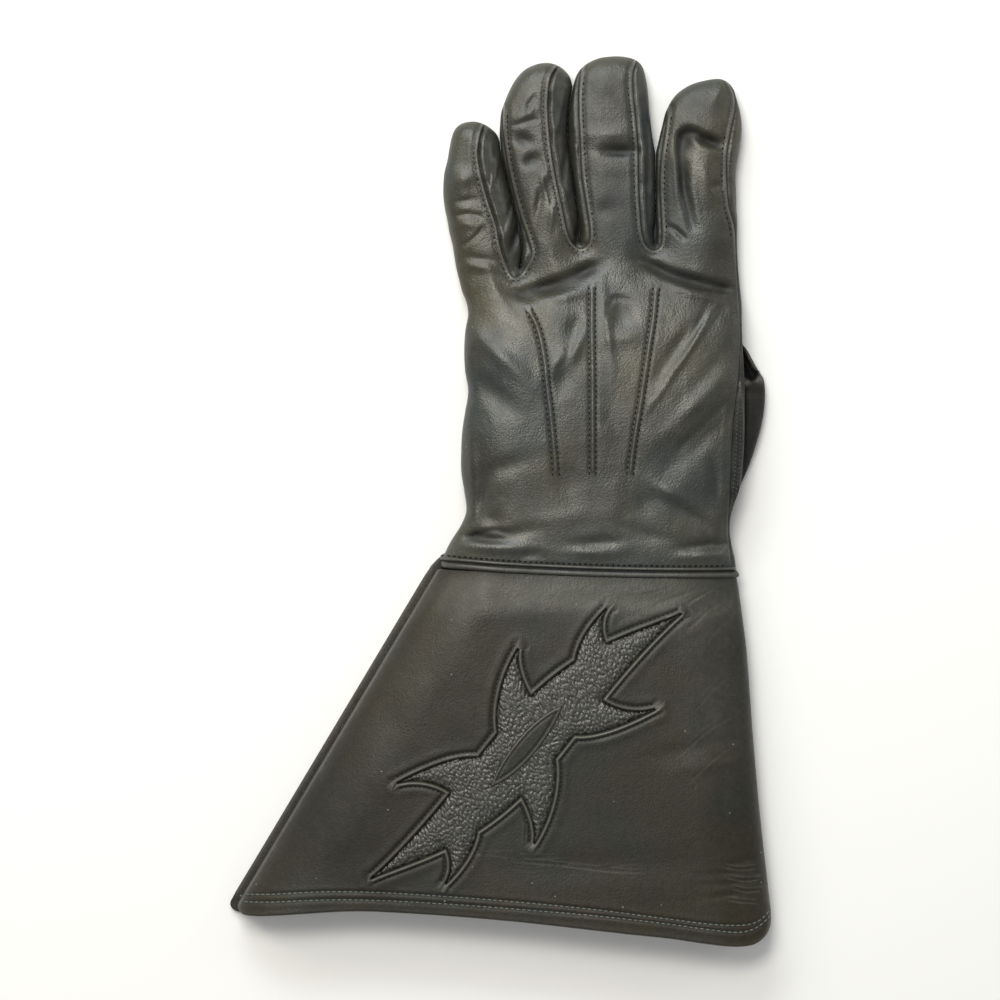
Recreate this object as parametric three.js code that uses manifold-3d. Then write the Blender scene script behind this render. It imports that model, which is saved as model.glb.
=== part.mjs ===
// Gauntlet glove of black leather, lying on its palm.
// Millimetres, +Z up, +Y from the cuff towards the fingertips, +X towards the index finger.
// The flattened glove is one long tube of sections: the wrist seam is at y = 0, the hand runs up
// from it and the flared cuff runs down. Every panel is cut out of that tube, so panels meet.
import * as THREE from "three";
import { mergeVertices } from "three/addons/utils/BufferGeometryUtils.js";
import Module from "manifold-3d";

const wasm = await Module();
wasm.setup();

// Leather and clearances
const HAND_LEATHER = 1.2;
const CUFF_LEATHER = 2;
const INLAY_LEATHER = 1.2;
const SEAM_GAP = 0.3;
const FINGER_GAP = 0.8;

// Hand
const HAND_LENGTH = 130;
const HAND_HEIGHT = 22;
const WRIST_WIDTH = 124;
const WRIST_HEIGHT = 19;
const WRIST_SHIFT = -6;
const KNUCKLE_HEIGHT = 13;

// Fingers: each length counts from the knuckle line
const LITTLE_WIDTH = 25.7;
const LITTLE_LENGTH = 57;
const LITTLE_HEIGHT = 14;
const RING_WIDTH = 24.8;
const RING_LENGTH = 81.5;
const RING_HEIGHT = 15;
const MIDDLE_WIDTH = 31.3;
const MIDDLE_LENGTH = 84.5;
const MIDDLE_HEIGHT = 15.5;
const INDEX_WIDTH = 34.5;
const INDEX_LENGTH = 75;
const INDEX_HEIGHT = 15.5;
const FINGER_ROOT = 14;
const ROOT_TUCK = 3;
const STRIP_FOOT = 3.2;

// Thumb, folded under the palm
const THUMB_LENGTH = 76;
const THUMB_WIDTH = 38;
const THUMB_HEIGHT = 9;
const THUMB_OUT = 11;
const THUMB_FOOT = 25;
const THUMB_HOLE_LENGTH = 36;
const THUMB_HOLE_WIDTH = 20;

// Wrist welt, a folded band with two ridges
const WELT_WIDTH = 7;
const WELT_THICKNESS = 1.5;

// Cuff
const CUFF_LENGTH = 142;
const MOUTH_WIDTH = 225;
const MOUTH_HEIGHT = 23;
const MOUTH_SHIFT = -40.5;
const UNDER_FLANGE = 3;
const MOUTH_CORNER = 8;
const LOWER_CORNER = 10.4;
const FLANGE_ROUND = 0.7;

// Stitched points on the back of the hand
const POINT_WIDTH = 1.3;
const POINT_HEIGHT = 0.9;
const RIDGE_STEPS = 4;

// Inlay on the back of the cuff
const MOTIF_LENGTH = 168;
const MOTIF_BODY = 25;
const MOTIF_TURN = 40.4;
const MOTIF_SHIFT = -7;
const MOTIF_BEND = 0.05;
const LEAF_LENGTH = 44;
const LEAF_WIDTH = 9;

// How finely the sections are cut
const HAND_SIDES = 28;
const FINGER_SIDES = 12;
const THUMB_SIDES = 12;

// How far cutting shapes reach past the leather that they cut
const TALL = 80;
const PAST = 3;
const PAST_TIPS = 20;

// tip says where across the finger its end lies, round how far the rounding of the end reaches
// down it, as a share of its width.
const FINGERS = [
  { name: "little", width: LITTLE_WIDTH, length: LITTLE_LENGTH, height: LITTLE_HEIGHT, tip: 0.51, round: 0.56 },
  { name: "ring", width: RING_WIDTH, length: RING_LENGTH, height: RING_HEIGHT, tip: 0.68, round: 1 },
  { name: "middle", width: MIDDLE_WIDTH, length: MIDDLE_LENGTH, height: MIDDLE_HEIGHT, tip: 0.46, round: 0.53 },
  { name: "index", width: INDEX_WIDTH, length: INDEX_LENGTH, height: INDEX_HEIGHT, tip: 0.74, round: 0.6 },
];
const KNUCKLE_WIDTH = FINGERS.reduce((sum, finger) => sum + finger.width, 0);
const WELT_OUT = SEAM_GAP + WELT_THICKNESS;

// at: share of the hand's length. left and right: shares of the half width there.
// high: share of the hand's height. low: share of the welt's projection.
const HAND_SECTIONS = [
  { at: 0, left: -1.0, right: 1.0, high: 0.86, low: 1 },
  { at: 0.054, left: -0.96, right: 0.989, high: 0.86, low: 1 },
  { at: 0.134, left: -0.864, right: 0.973, high: 0.88, low: 0.25 },
  { at: 0.197, left: -0.82, right: 0.957, high: 0.91, low: 0 },
  { at: 0.325, left: -0.873, right: 0.959, high: 0.96, low: 0 },
  { at: 0.516, left: -0.876, right: 0.972, high: 1.0, low: 0 },
  { at: 0.707, left: -0.913, right: 1.007, high: 0.98, low: 0 },
  { at: 0.834, left: -0.906, right: 1.017, high: 0.9, low: 0 },
  { at: 0.93, left: -0.98, right: 1.006, high: 0.76, low: 0 },
  { at: 1, left: -1, right: 1, high: KNUCKLE_HEIGHT / HAND_HEIGHT, low: 0 },
];

// at: share of the cuff's length down from the wrist. high: 0 at the wrist, 1 at the mouth.
const CUFF_SECTIONS = [
  { at: 0, left: -1.0, right: 1.0, high: 0, low: 1 },
  { at: 0.05, left: -1.0, right: 1.008, high: 0.02, low: 1 },
  { at: 0.12, left: -1.0, right: 1.02, high: 0.1, low: 0.5 },
  { at: 0.24, left: -1.0, right: 1.022, high: 0.26, low: 0 },
  { at: 0.46, left: -1.0, right: 1.003, high: 0.62, low: 0 },
  { at: 0.7, left: -1.0, right: 0.994, high: 0.9, low: 0 },
  { at: 0.88, left: -1.0, right: 0.996, high: 0.98, low: 0 },
  { at: 1.12, left: -1.0, right: 1.0, high: 1, low: 0 },
];

// How far the crotch between two fingers lies above the knuckle line, as a share of the hand's
// length, where across is 0 at the little finger's edge and 1 at the index finger's.
const KNUCKLE_CURVE = [
  { across: 0, rise: -0.045 },
  { across: 0.22, rise: -0.034 },
  { across: 0.43, rise: 0.05 },
  { across: 0.71, rise: 0.048 },
  { across: 1, rise: 0.04 },
];

// The five lines that bound the fingers. at: share of the longer neighbour's length.
// off: share of the knuckle width, from the line's foot.
const FINGER_LINES = [
  [
    { at: -0.11, off: 0 },
    { at: 0.11, off: -0.021 },
    { at: 0.28, off: -0.039 },
    { at: 0.46, off: -0.053 },
    { at: 0.63, off: -0.05 },
    { at: 0.81, off: -0.036 },
    { at: 1, off: -0.021 },
  ],
  [
    { at: -0.056, off: 0 },
    { at: 0.06, off: 0.007 },
    { at: 0.177, off: -0.007 },
    { at: 0.358, off: -0.039 },
    { at: 0.576, off: -0.068 },
    { at: 0.68, off: -0.075 },
    { at: 1, off: -0.075 },
  ],
  [
    { at: 0.078, off: 0 },
    { at: 0.18, off: -0.004 },
    { at: 0.4, off: -0.025 },
    { at: 0.62, off: -0.043 },
    { at: 0.735, off: -0.039 },
    { at: 0.867, off: -0.025 },
    { at: 1, off: -0.02 },
  ],
  [
    { at: 0.076, off: 0 },
    { at: 0.573, off: 0.002 },
    { at: 1, off: -0.004 },
  ],
  [
    { at: -0.08, off: 0 },
    { at: 0.215, off: -0.007 },
    { at: 0.48, off: -0.014 },
    { at: 0.613, off: 0 },
    { at: 0.745, off: 0.009 },
    { at: 1, off: 0.01 },
  ],
];

// Side strips between the fingers. left and right: how far the seams lie from the line between
// two fingers, as shares of each finger's width.
const STRIPS = [
  {
    name: "fourchette_little_ring",
    seams: [
      { at: 0, left: 0.3, right: 0.1 },
      { at: 0.14, left: 0.37, right: 0.1 },
      { at: 0.4, left: 0.42, right: 0.1 },
      { at: 0.6, left: 0.38, right: 0.1 },
      { at: 1, left: 0.2, right: 0.1 },
    ],
  },
  {
    name: "fourchette_ring_middle",
    seams: [
      { at: 0, left: 0.19, right: 0.12 },
      { at: 0.15, left: 0.2, right: 0.12 },
      { at: 0.3, left: 0.25, right: 0.12 },
      { at: 0.55, left: 0.32, right: 0.11 },
      { at: 0.8, left: 0.34, right: 0.09 },
      { at: 1, left: 0.28, right: 0.09 },
    ],
  },
  {
    name: "fourchette_middle_index",
    seams: [
      { at: 0, left: 0.17, right: 0.07 },
      { at: 0.3, left: 0.22, right: 0.07 },
      { at: 0.8, left: 0.27, right: 0.07 },
      { at: 1, left: 0.22, right: 0.07 },
    ],
  },
];

// Dents and folds of the upper side. across: share from the centre line to the edge, at: share of
// the hand's length. long and wide: shares of the knuckle width. turn in degrees from +X.
// deep: share of the hand's height, below 0 where the leather stands up.
const HAND_DENTS = [
  { across: -0.3, at: 0.88, long: 0.17, wide: 0.035, turn: 20, deep: 0.11 },
  { across: 0.62, at: 0.91, long: 0.2, wide: 0.03, turn: -14, deep: 0.1 },
  { across: 0.13, at: 0.79, long: 0.08, wide: 0.07, turn: 80, deep: 0.06 },
  { across: 0.62, at: 0.7, long: 0.22, wide: 0.04, turn: 58, deep: 0.06 },
  { across: 0.72, at: 0.5, long: 0.2, wide: 0.04, turn: 45, deep: 0.06 },
  { across: -0.62, at: 0.6, long: 0.16, wide: 0.05, turn: -40, deep: 0.05 },
  { across: -0.72, at: 0.22, long: 0.1, wide: 0.03, turn: 30, deep: 0.09 },
  { across: -0.1, at: 0.52, long: 0.3, wide: 0.12, turn: 90, deep: -0.05 },
];

// Dents of the fingers. across: share of the finger's width from its axis, at: share of its
// length, long and wide: shares of its width, deep: share of its height.
const FINGER_DENTS = {
  little: [
    { across: -0.1, at: 0.5, long: 0.3, wide: 0.25, turn: 0, deep: -0.05 },
    { across: 0, at: 0.22, long: 0.4, wide: 0.1, turn: 10, deep: 0.1 },
  ],
  ring: [
    { across: -0.2, at: 0.62, long: 0.22, wide: 0.16, turn: 0, deep: 0.12 },
    { across: -0.1, at: 0.5, long: 0.2, wide: 0.12, turn: 20, deep: 0.1 },
  ],
  middle: [
    { across: 0.05, at: 0.53, long: 0.4, wide: 0.1, turn: 0, deep: 0.16 },
    { across: -0.1, at: 0.24, long: 0.2, wide: 0.2, turn: 0, deep: 0.07 },
  ],
  index: [
    { across: 0.2, at: 0.66, long: 0.28, wide: 0.13, turn: 0, deep: 0.22 },
    { across: -0.1, at: 0.42, long: 0.45, wide: 0.13, turn: 84, deep: 0.22 },
  ],
};

// Soft hollows of the upper cuff. across and at as on the hand, of the cuff's half width and
// length; long and wide: shares of the mouth's width; deep: share of its height.
const CUFF_DENTS = [
  { across: 0.5, at: 0.12, long: 0.1, wide: 0.04, turn: 70, deep: 0.04 },
  { across: 0.7, at: 0.52, long: 0.16, wide: 0.04, turn: 20, deep: 0.05 },
  { across: 0.1, at: 0.86, long: 0.3, wide: 0.05, turn: 4, deep: 0.05 },
  { across: -0.45, at: 0.4, long: 0.3, wide: 0.08, turn: 60, deep: -0.03 },
];

// The three stitched points. x as a share of the knuckle width from its centre, y as a share of
// the hand's length.
const POINTS = [
  [
    { x: -0.252, y: 0.842 },
    { x: -0.202, y: 0.734 },
    { x: -0.184, y: 0.577 },
    { x: -0.152, y: 0.306 },
  ],
  [
    { x: -0.025, y: 0.912 },
    { x: -0.025, y: 0.71 },
    { x: -0.025, y: 0.51 },
    { x: -0.025, y: 0.312 },
  ],
  [
    { x: 0.202, y: 0.909 },
    { x: 0.177, y: 0.734 },
    { x: 0.138, y: 0.524 },
    { x: 0.106, y: 0.312 },
  ],
];

// Thumb sections. at: share of its length from the foot. inner and outer: shares of its width
// from its outermost line. high: share of its height.
const THUMB_SECTIONS = [
  { at: 0, inner: -0.72, outer: -0.34, high: 0.5 },
  { at: 0.04, inner: -0.9, outer: -0.3, high: 0.75 },
  { at: 0.16, inner: -1, outer: -0.16, high: 1 },
  { at: 0.34, inner: -1, outer: -0.05, high: 1 },
  { at: 0.52, inner: -0.98, outer: -0.005, high: 1 },
  { at: 0.66, inner: -0.95, outer: 0, high: 1 },
  { at: 0.76, inner: -0.92, outer: -0.06, high: 0.95 },
  { at: 0.86, inner: -0.87, outer: -0.17, high: 0.9 },
  { at: 0.94, inner: -0.78, outer: -0.33, high: 0.75 },
  { at: 1, inner: -0.66, outer: -0.45, high: 0.5 },
];
const THUMB_DENTS = [
  { across: -0.12, at: 0.78, long: 0.32, wide: 0.12, turn: 115, deep: 0.35 },
];

// Lower edge of the cuff. across: 0 at its left corner, 1 at its right. drop: share of the
// cuff's length below its nominal end.
const HEM = [
  { across: 0, drop: -0.003 },
  { across: 0.129, drop: -0.015 },
  { across: 0.236, drop: -0.023 },
  { across: 0.344, drop: -0.015 },
  { across: 0.549, drop: 0.012 },
  { across: 0.727, drop: 0.044 },
  { across: 0.877, drop: 0.076 },
  { across: 0.936, drop: 0.082 },
  { across: 1, drop: 0.076 },
];

// Hooked thorns of the inlay. at: share of its half length from its centre, side: +1 or -1,
// base, reach and sweep: shares of its half length.
const THORNS = [
  { at: 0.52, side: 1, base: 0.2, reach: 0.22, sweep: 0.22 },
  { at: 0.3, side: -1, base: 0.24, reach: 0.32, sweep: 0.3 },
  { at: 0.04, side: 1, base: 0.26, reach: 0.35, sweep: 0.24 },
  { at: -0.04, side: -1, base: 0.26, reach: 0.35, sweep: -0.24 },
  { at: -0.3, side: 1, base: 0.24, reach: 0.32, sweep: -0.3 },
  { at: -0.52, side: -1, base: 0.2, reach: 0.22, sweep: -0.22 },
];

const mix = (a, b, share) => a + (b - a) * share;
const clamp = (value) => Math.min(1, Math.max(0, value));
const smooth = (value) => clamp(value) ** 2 * (3 - 2 * clamp(value));
const radians = THREE.MathUtils.degToRad;

// Reads one column of a table of rows, in straight steps between the rows.
function column(rows, key, value, name) {
  const last = rows.length - 1;
  if (value <= rows[0][key]) return rows[0][name];
  if (value >= rows[last][key]) return rows[last][name];
  const next = rows.findIndex((row) => row[key] > value);
  const before = rows[next - 1];
  const after = rows[next];
  return mix(before[name], after[name], (value - before[key]) / (after[key] - before[key]));
}

// Closed mesh to solid, and back.
function solidFrom(geometry) {
  const bare = new THREE.BufferGeometry();
  bare.setAttribute("position", geometry.getAttribute("position"));
  bare.setIndex(geometry.index);
  const merged = mergeVertices(bare, 1e-4);
  return new wasm.Manifold(
    new wasm.Mesh({
      numProp: 3,
      vertProperties: merged.attributes.position.array,
      triVerts: new Uint32Array(merged.index.array),
    }),
  );
}

function geometryFrom(solid) {
  const { vertProperties, triVerts } = solid.getMesh();
  const geometry = new THREE.BufferGeometry();
  geometry.setAttribute("position", new THREE.BufferAttribute(vertProperties, 3));
  geometry.setIndex(new THREE.BufferAttribute(triVerts, 1));
  geometry.computeVertexNormals();
  return geometry;
}

const joined = (solids) => solids.reduce((all, solid) => all.add(solid));

// Skins a row of closed sections and closes both ends.
function loft(rings) {
  const sides = rings[0].length;
  const points = rings.flat();
  const middle = (ring) =>
    ring.reduce((sum, p) => sum.add(p), new THREE.Vector3()).divideScalar(ring.length);
  points.push(middle(rings[0]), middle(rings[rings.length - 1]));
  const [start, end] = [points.length - 2, points.length - 1];
  const faces = [];
  for (let i = 0; i < sides; i++) {
    const j = (i + 1) % sides;
    for (let k = 0; k < rings.length - 1; k++) {
      const [a, b] = [k * sides + i, k * sides + j];
      faces.push(a, b, b + sides, a, b + sides, a + sides);
    }
    const top = (rings.length - 1) * sides;
    faces.push(start, j, i, end, top + i, top + j);
  }
  const geometry = new THREE.BufferGeometry().setFromPoints(points);
  geometry.setIndex(faces);
  return solidFrom(geometry);
}

// Upright prism of a plan outline.
function prism(shape, low = -TALL, high = TALL) {
  const geometry = new THREE.ExtrudeGeometry(shape, {
    depth: high - low,
    bevelEnabled: false,
    curveSegments: 8,
  });
  return solidFrom(geometry.translate(0, 0, low));
}

// Block over a grid of x and y, between two heights that vary over it.
function block(rows, lower, upper) {
  const across = rows[0].length;
  const points = [];
  for (const height of [lower, upper])
    for (const row of rows)
      for (const [x, y] of row) points.push(new THREE.Vector3(x, y, height(x, y)));
  const layer = rows.length * across;
  const faces = [];
  const quad = (a, b, c, d) => faces.push(a, b, c, a, c, d);
  for (let r = 0; r < rows.length - 1; r++)
    for (let c = 0; c < across - 1; c++) {
      const [a, b] = [r * across + c, r * across + c + 1];
      quad(a, a + across, b + across, b);
      quad(layer + a, layer + b, layer + b + across, layer + a + across);
    }
  for (let c = 0; c < across - 1; c++) {
    const far = (rows.length - 1) * across + c;
    quad(c, c + 1, layer + c + 1, layer + c);
    quad(far + 1, far, layer + far, layer + far + 1);
  }
  for (let r = 0; r < rows.length - 1; r++) {
    const [a, b] = [r * across, (r + 1) * across];
    quad(b, a, layer + a, layer + b);
    quad(a + across - 1, b + across - 1, layer + b + across - 1, layer + a + across - 1);
  }
  const geometry = new THREE.BufferGeometry().setFromPoints(points);
  geometry.setIndex(faces);
  return solidFrom(geometry);
}

// One closed section across the tube: pressed flat below, crowned above, folded at both sides.
const SIDE_POWER = 0.68;
const PRESS_POWER = 0.8;
const PRESS = 1.3;
const FOLD_SHARE = 0.42;

function section(frame, inset, sides, place) {
  const mid = (frame.left + frame.right) / 2;
  const half = (frame.right - frame.left) / 2 - inset;
  const floor = frame.low + inset;
  const roof = frame.high - inset;
  const fold = mix(floor, roof, FOLD_SHARE);
  const ring = [];
  for (let i = 0; i < sides; i++) {
    const angle = (2 * Math.PI * i) / sides;
    const [c, s] = [Math.cos(angle), Math.sin(angle)];
    const x = mid - half * Math.sign(c) * Math.abs(c) ** SIDE_POWER;
    const above = mix(fold, roof, Math.abs(s));
    const below = mix(fold, floor, Math.min(1, PRESS * Math.abs(s) ** PRESS_POWER));
    const z = s >= 0 ? above : below;
    ring.push(place(x, z, (z - floor) / (roof - floor)));
  }
  return ring;
}

// How fully a dent works at a share of the section's height: not at all on its lower half.
const upperShare = (share) => smooth(share * 2 - 0.9);

// Depth of a list of dents at a plan point. Each dent is a soft oval.
function depth(dents, x, y) {
  let sum = 0;
  for (const dent of dents) {
    const [dx, dy] = [x - dent.x, y - dent.y];
    const along = (dx * Math.cos(dent.turn) + dy * Math.sin(dent.turn)) / dent.long;
    const over = (dy * Math.cos(dent.turn) - dx * Math.sin(dent.turn)) / dent.wide;
    sum += dent.deep * Math.exp(-(along ** 2) - over ** 2);
  }
  return sum;
}

// The tube of hand and cuff at a height y along the glove.
function bodyFrame(y) {
  if (y >= 0) {
    const at = y / HAND_LENGTH;
    const half = mix(WRIST_WIDTH, KNUCKLE_WIDTH, clamp(at)) / 2;
    const mid = WRIST_SHIFT * (1 - clamp(at));
    const table = (name) => column(HAND_SECTIONS, "at", at, name);
    return {
      left: mid + half * table("left"),
      right: mid + half * table("right"),
      low: WELT_OUT * table("low"),
      high: at <= 0 ? WRIST_HEIGHT : handHeight(at),
    };
  }
  const at = -y / CUFF_LENGTH;
  const half = mix(WRIST_WIDTH, MOUTH_WIDTH, at) / 2;
  const mid = mix(WRIST_SHIFT, MOUTH_SHIFT, at);
  const table = (name) => column(CUFF_SECTIONS, "at", at, name);
  return {
    left: mid + half * table("left"),
    right: mid + half * table("right"),
    low: WELT_OUT * table("low"),
    high: mix(WRIST_HEIGHT, MOUTH_HEIGHT, table("high")),
  };
}

// The hand swells from the wrist's height to its own and falls to the knuckles'.
function handHeight(at) {
  const swell = column(HAND_SECTIONS, "at", at, "high") * HAND_HEIGHT;
  return mix(WRIST_HEIGHT, swell, smooth(at / 0.2));
}

const handDents = HAND_DENTS.map((dent) => {
  const y = dent.at * HAND_LENGTH;
  const { left, right } = bodyFrame(y);
  return {
    x: mix(left, right, (dent.across + 1) / 2),
    y,
    long: dent.long * KNUCKLE_WIDTH,
    wide: dent.wide * KNUCKLE_WIDTH,
    turn: radians(dent.turn),
    deep: dent.deep * HAND_HEIGHT,
  };
});

const cuffDents = CUFF_DENTS.map((dent) => {
  const y = -dent.at * CUFF_LENGTH;
  const { left, right } = bodyFrame(y);
  return {
    x: mix(left, right, (dent.across + 1) / 2),
    y,
    long: dent.long * MOUTH_WIDTH,
    wide: dent.wide * MOUTH_WIDTH,
    turn: radians(dent.turn),
    deep: dent.deep * MOUTH_HEIGHT,
  };
});

const bodyDents = [...handDents, ...cuffDents];

// Thumb: its outermost line, its foot and where the palm is lifted to lie over it.
const THUMB_EDGE = KNUCKLE_WIDTH / 2 + THUMB_OUT;
const LIFT = THUMB_HEIGHT + SEAM_GAP;
const LIFT_RUN = 17;

function lift(x, y) {
  const inner = THUMB_EDGE - THUMB_WIDTH;
  const sideways = smooth((x - inner + LIFT_RUN) / LIFT_RUN);
  const up = smooth((y - THUMB_FOOT + LIFT_RUN) / LIFT_RUN);
  const down = smooth((THUMB_FOOT + THUMB_LENGTH + LIFT_RUN - y) / LIFT_RUN);
  return LIFT * sideways * up * down;
}

// Section of the tube at y, at an inset from its outer face, with its dents and lifted over the
// thumb. Towards the knuckles it bends along the line of the crotches. top draws it back from y.
function bodyRing(y, inset, top = 0) {
  const frame = bodyFrame(y);
  const width = frame.right - frame.left;
  return section(frame, inset, HAND_SIDES, (x, z, share) => {
    const across = (x - frame.left) / width;
    const rise = column(KNUCKLE_CURVE, "across", across, "rise") * HAND_LENGTH;
    const at = clamp(y / HAND_LENGTH);
    const reach = y + rise * at ** 3 - top;
    const raised = z + lift(x, reach) * (1 - share);
    const dent = depth(bodyDents, x, reach) * upperShare(share);
    return new THREE.Vector3(x, reach, raised - dent);
  });
}

const handRows = HAND_SECTIONS.map((row) => row.at * HAND_LENGTH);
const cuffRows = CUFF_SECTIONS.map((row) => -row.at * CUFF_LENGTH).reverse();

// Foot of each finger line on the knuckle line.
const lineFeet = [-KNUCKLE_WIDTH / 2];
for (const finger of FINGERS) lineFeet.push(lineFeet[lineFeet.length - 1] + finger.width);

function lineReach(index) {
  const neighbours = [FINGERS[index - 1], FINGERS[index]].filter(Boolean);
  return Math.max(...neighbours.map((finger) => finger.length));
}

function lineX(index, y) {
  const at = (y - HAND_LENGTH) / lineReach(index);
  return lineFeet[index] + column(FINGER_LINES[index], "at", at, "off") * KNUCKLE_WIDTH;
}

// Stations along a finger, closer together where its end rounds off.
const FINGER_STATIONS = [-1, 0, 0.18, 0.36, 0.52, 0.66];
const TIP_STATIONS = [0, 0.4, 0.7, 0.9, 0.985];
const TIP_POWER = 2.2;
const TIP_TAPER = 0.9;
const LEAST_HALF = 0.4;

function fingerTube(index, inset) {
  const finger = FINGERS[index];
  const gap = (side) => (side === 0 || side === FINGERS.length ? 0 : FINGER_GAP / 2);
  const end = HAND_LENGTH + finger.length - inset;
  const rounding = finger.round * finger.width - inset;
  const bend = end - rounding;
  const straight = FINGER_STATIONS.map((at) =>
    at < 0 ? HAND_LENGTH - FINGER_ROOT : HAND_LENGTH + at * finger.length,
  ).filter((y) => y < bend - 1);
  const stations = [...straight, ...TIP_STATIONS.map((share) => bend + share * rounding)];
  const axis = (y) => (lineX(index, y) + lineX(index + 1, y)) / 2;
  const dents = FINGER_DENTS[finger.name].map((dent) => {
    const y = HAND_LENGTH + dent.at * finger.length;
    return {
      x: axis(y) + dent.across * finger.width,
      y,
      long: dent.long * finger.width,
      wide: dent.wide * finger.width,
      turn: radians(dent.turn),
      deep: dent.deep * finger.height,
    };
  });
  return loft(
    stations.map((y) => {
      const round = clamp((y - bend) / rounding);
      const shrink = (1 - round ** TIP_POWER) ** (1 / TIP_POWER);
      const tuck = y < HAND_LENGTH ? ROOT_TUCK : 0;
      const left = lineX(index, y) + gap(index) + inset + tuck;
      const right = lineX(index + 1, y) - gap(index + 1) - inset - tuck;
      const tip = mix(left, right, finger.tip);
      const crown = mix(1, TIP_TAPER, clamp((y - HAND_LENGTH) / finger.length)) * finger.height - inset;
      const fold = mix(inset, crown, FOLD_SHARE);
      const low = mix(fold, inset, shrink ** 0.6);
      const high = mix(fold, crown, shrink ** 0.8);
      const frame = {
        left: mix(tip, left, shrink),
        right: mix(tip, right, shrink),
        low: Math.min(low, fold - LEAST_HALF),
        high: Math.max(high, fold + LEAST_HALF),
      };
      return section(frame, 0, FINGER_SIDES, (x, z, share) => {
        const dent = depth(dents, x, y) * upperShare(share) * shrink;
        return new THREE.Vector3(x, y, z - dent);
      });
    }),
  );
}

// The hand without its fingers at an inset, from a start near the wrist seam.
function handLoft(inset, start = SEAM_GAP / 2) {
  const rings = [bodyRing(start, inset)];
  for (const y of handRows.slice(1))
    rings.push(bodyRing(y, inset, y === HAND_LENGTH ? Math.max(inset, 0) : 0));
  return loft(rings);
}

function handForm(inset, start) {
  const fingers = FINGERS.map((finger, index) => fingerTube(index, inset));
  return joined([handLoft(inset, start), ...fingers]);
}

function tube(inset, rows) {
  return loft(rows.map((y) => bodyRing(y, inset)));
}

// Height of the side seams. On the little finger's side the seam is low, on the index finger's
// side it lies high enough to be seen from above.
const HAND_SEAM = { left: 0.3, right: 0.62 };
const CUFF_SEAM_RIGHT = 0.5;

function seamHeight(x, y) {
  const frame = bodyFrame(Math.min(y, HAND_LENGTH));
  const across = clamp((x - frame.left) / (frame.right - frame.left));
  const rise = (share) => mix(frame.low, frame.high, share);
  const cuffLeft = frame.low + CUFF_LEATHER + SEAM_GAP;
  const blend = smooth(y / (0.15 * HAND_LENGTH));
  const left = mix(cuffLeft, rise(HAND_SEAM.left), blend);
  const right = mix(rise(CUFF_SEAM_RIGHT), rise(HAND_SEAM.right), blend);
  return mix(left, right, across);
}

const SEAM_COLUMNS = [-1.5, -1, 0, 1, 1.5];
const FAR_TIP = HAND_LENGTH + Math.max(...FINGERS.map((finger) => finger.length)) + PAST_TIPS;
const SEAM_SHARES = [0.134, 0.42, 0.707, 1];
const handSeamRows = SEAM_SHARES.map((at) => at * HAND_LENGTH);
const cuffSeamRows = cuffRows.filter((y) => y > -0.3 * CUFF_LENGTH);
const seamRows = [cuffRows[0], ...cuffSeamRows, ...handSeamRows, FAR_TIP].map((y) => {
  const frame = bodyFrame(Math.min(y, HAND_LENGTH));
  const [mid, half] = [(frame.left + frame.right) / 2, (frame.right - frame.left) / 2];
  return SEAM_COLUMNS.map((share) => [mid + share * half, y]);
});
const aboveSeam = block(seamRows, (x, y) => seamHeight(x, y) + SEAM_GAP / 2, () => TALL);
const belowSeam = block(seamRows, () => -TALL, (x, y) => seamHeight(x, y) - SEAM_GAP / 2);

// Plan outline of a side strip between two fingers, shrunk by a clearance.
function stripShape(index, shrink) {
  const strip = STRIPS[index];
  const line = index + 1;
  const across = (lineFeet[line] + KNUCKLE_WIDTH / 2) / KNUCKLE_WIDTH;
  const crotch = HAND_LENGTH * (1 + column(KNUCKLE_CURVE, "across", across, "rise"));
  const far = HAND_LENGTH + lineReach(line) * 1.1;
  const seam = (row, side) => {
    const y = mix(crotch, HAND_LENGTH + lineReach(line), row.at);
    const finger = side < 0 ? FINGERS[index] : FINGERS[index + 1];
    const away = (side < 0 ? row.left : row.right) * finger.width - shrink;
    return new THREE.Vector2(lineX(line, y) + side * away, y);
  };
  const lefts = strip.seams.map((row) => seam(row, -1));
  const rights = strip.seams.map((row) => seam(row, 1));
  const [a, b] = [lefts[0], rights[0]];
  const foot = crotch - STRIP_FOOT + shrink;
  const shape = new THREE.Shape();
  shape.moveTo(lefts[lefts.length - 1].x, far);
  for (const p of [...lefts].reverse()) shape.lineTo(p.x, p.y);
  shape.bezierCurveTo(a.x, foot - 1, b.x, foot - 1, b.x, b.y);
  for (const p of rights.slice(1)) shape.lineTo(p.x, p.y);
  shape.lineTo(rights[rights.length - 1].x, far);
  return shape;
}

// Largest body of a solid: crumbs that a cut leaves at a fingertip are trimmed off.
function mainBody(solid) {
  return solid.decompose().reduce((best, body) => (body.volume() > best.volume() ? body : best));
}

// Hand and fingers
const handShell = handForm(0, SEAM_GAP / 2).subtract(handForm(HAND_LEATHER, -1));
const strips = STRIPS.map((strip, index) => prism(stripShape(index, SEAM_GAP)));
const slots = joined(STRIPS.map((strip, index) => prism(stripShape(index, 0))));
const handPanels = handShell.subtract(slots);

// Stitched points: narrow ridges of the same leather along the back of the hand.
const ridgeLayer = handLoft(-POINT_HEIGHT)
  .subtract(handLoft(HAND_LEATHER / 2))
  .intersect(aboveSeam);

function pointRidge(rows) {
  const path = new THREE.SplineCurve(
    rows.map((row) => new THREE.Vector2(row.x * KNUCKLE_WIDTH, row.y * HAND_LENGTH)),
  );
  const points = path.getPoints(RIDGE_STEPS);
  const side = (half) => points.map((p) => new THREE.Vector2(p.x + half, p.y));
  const outline = [...side(-POINT_WIDTH / 2), ...side(POINT_WIDTH / 2).reverse()];
  return ridgeLayer.intersect(prism(new THREE.Shape(outline)));
}

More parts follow.
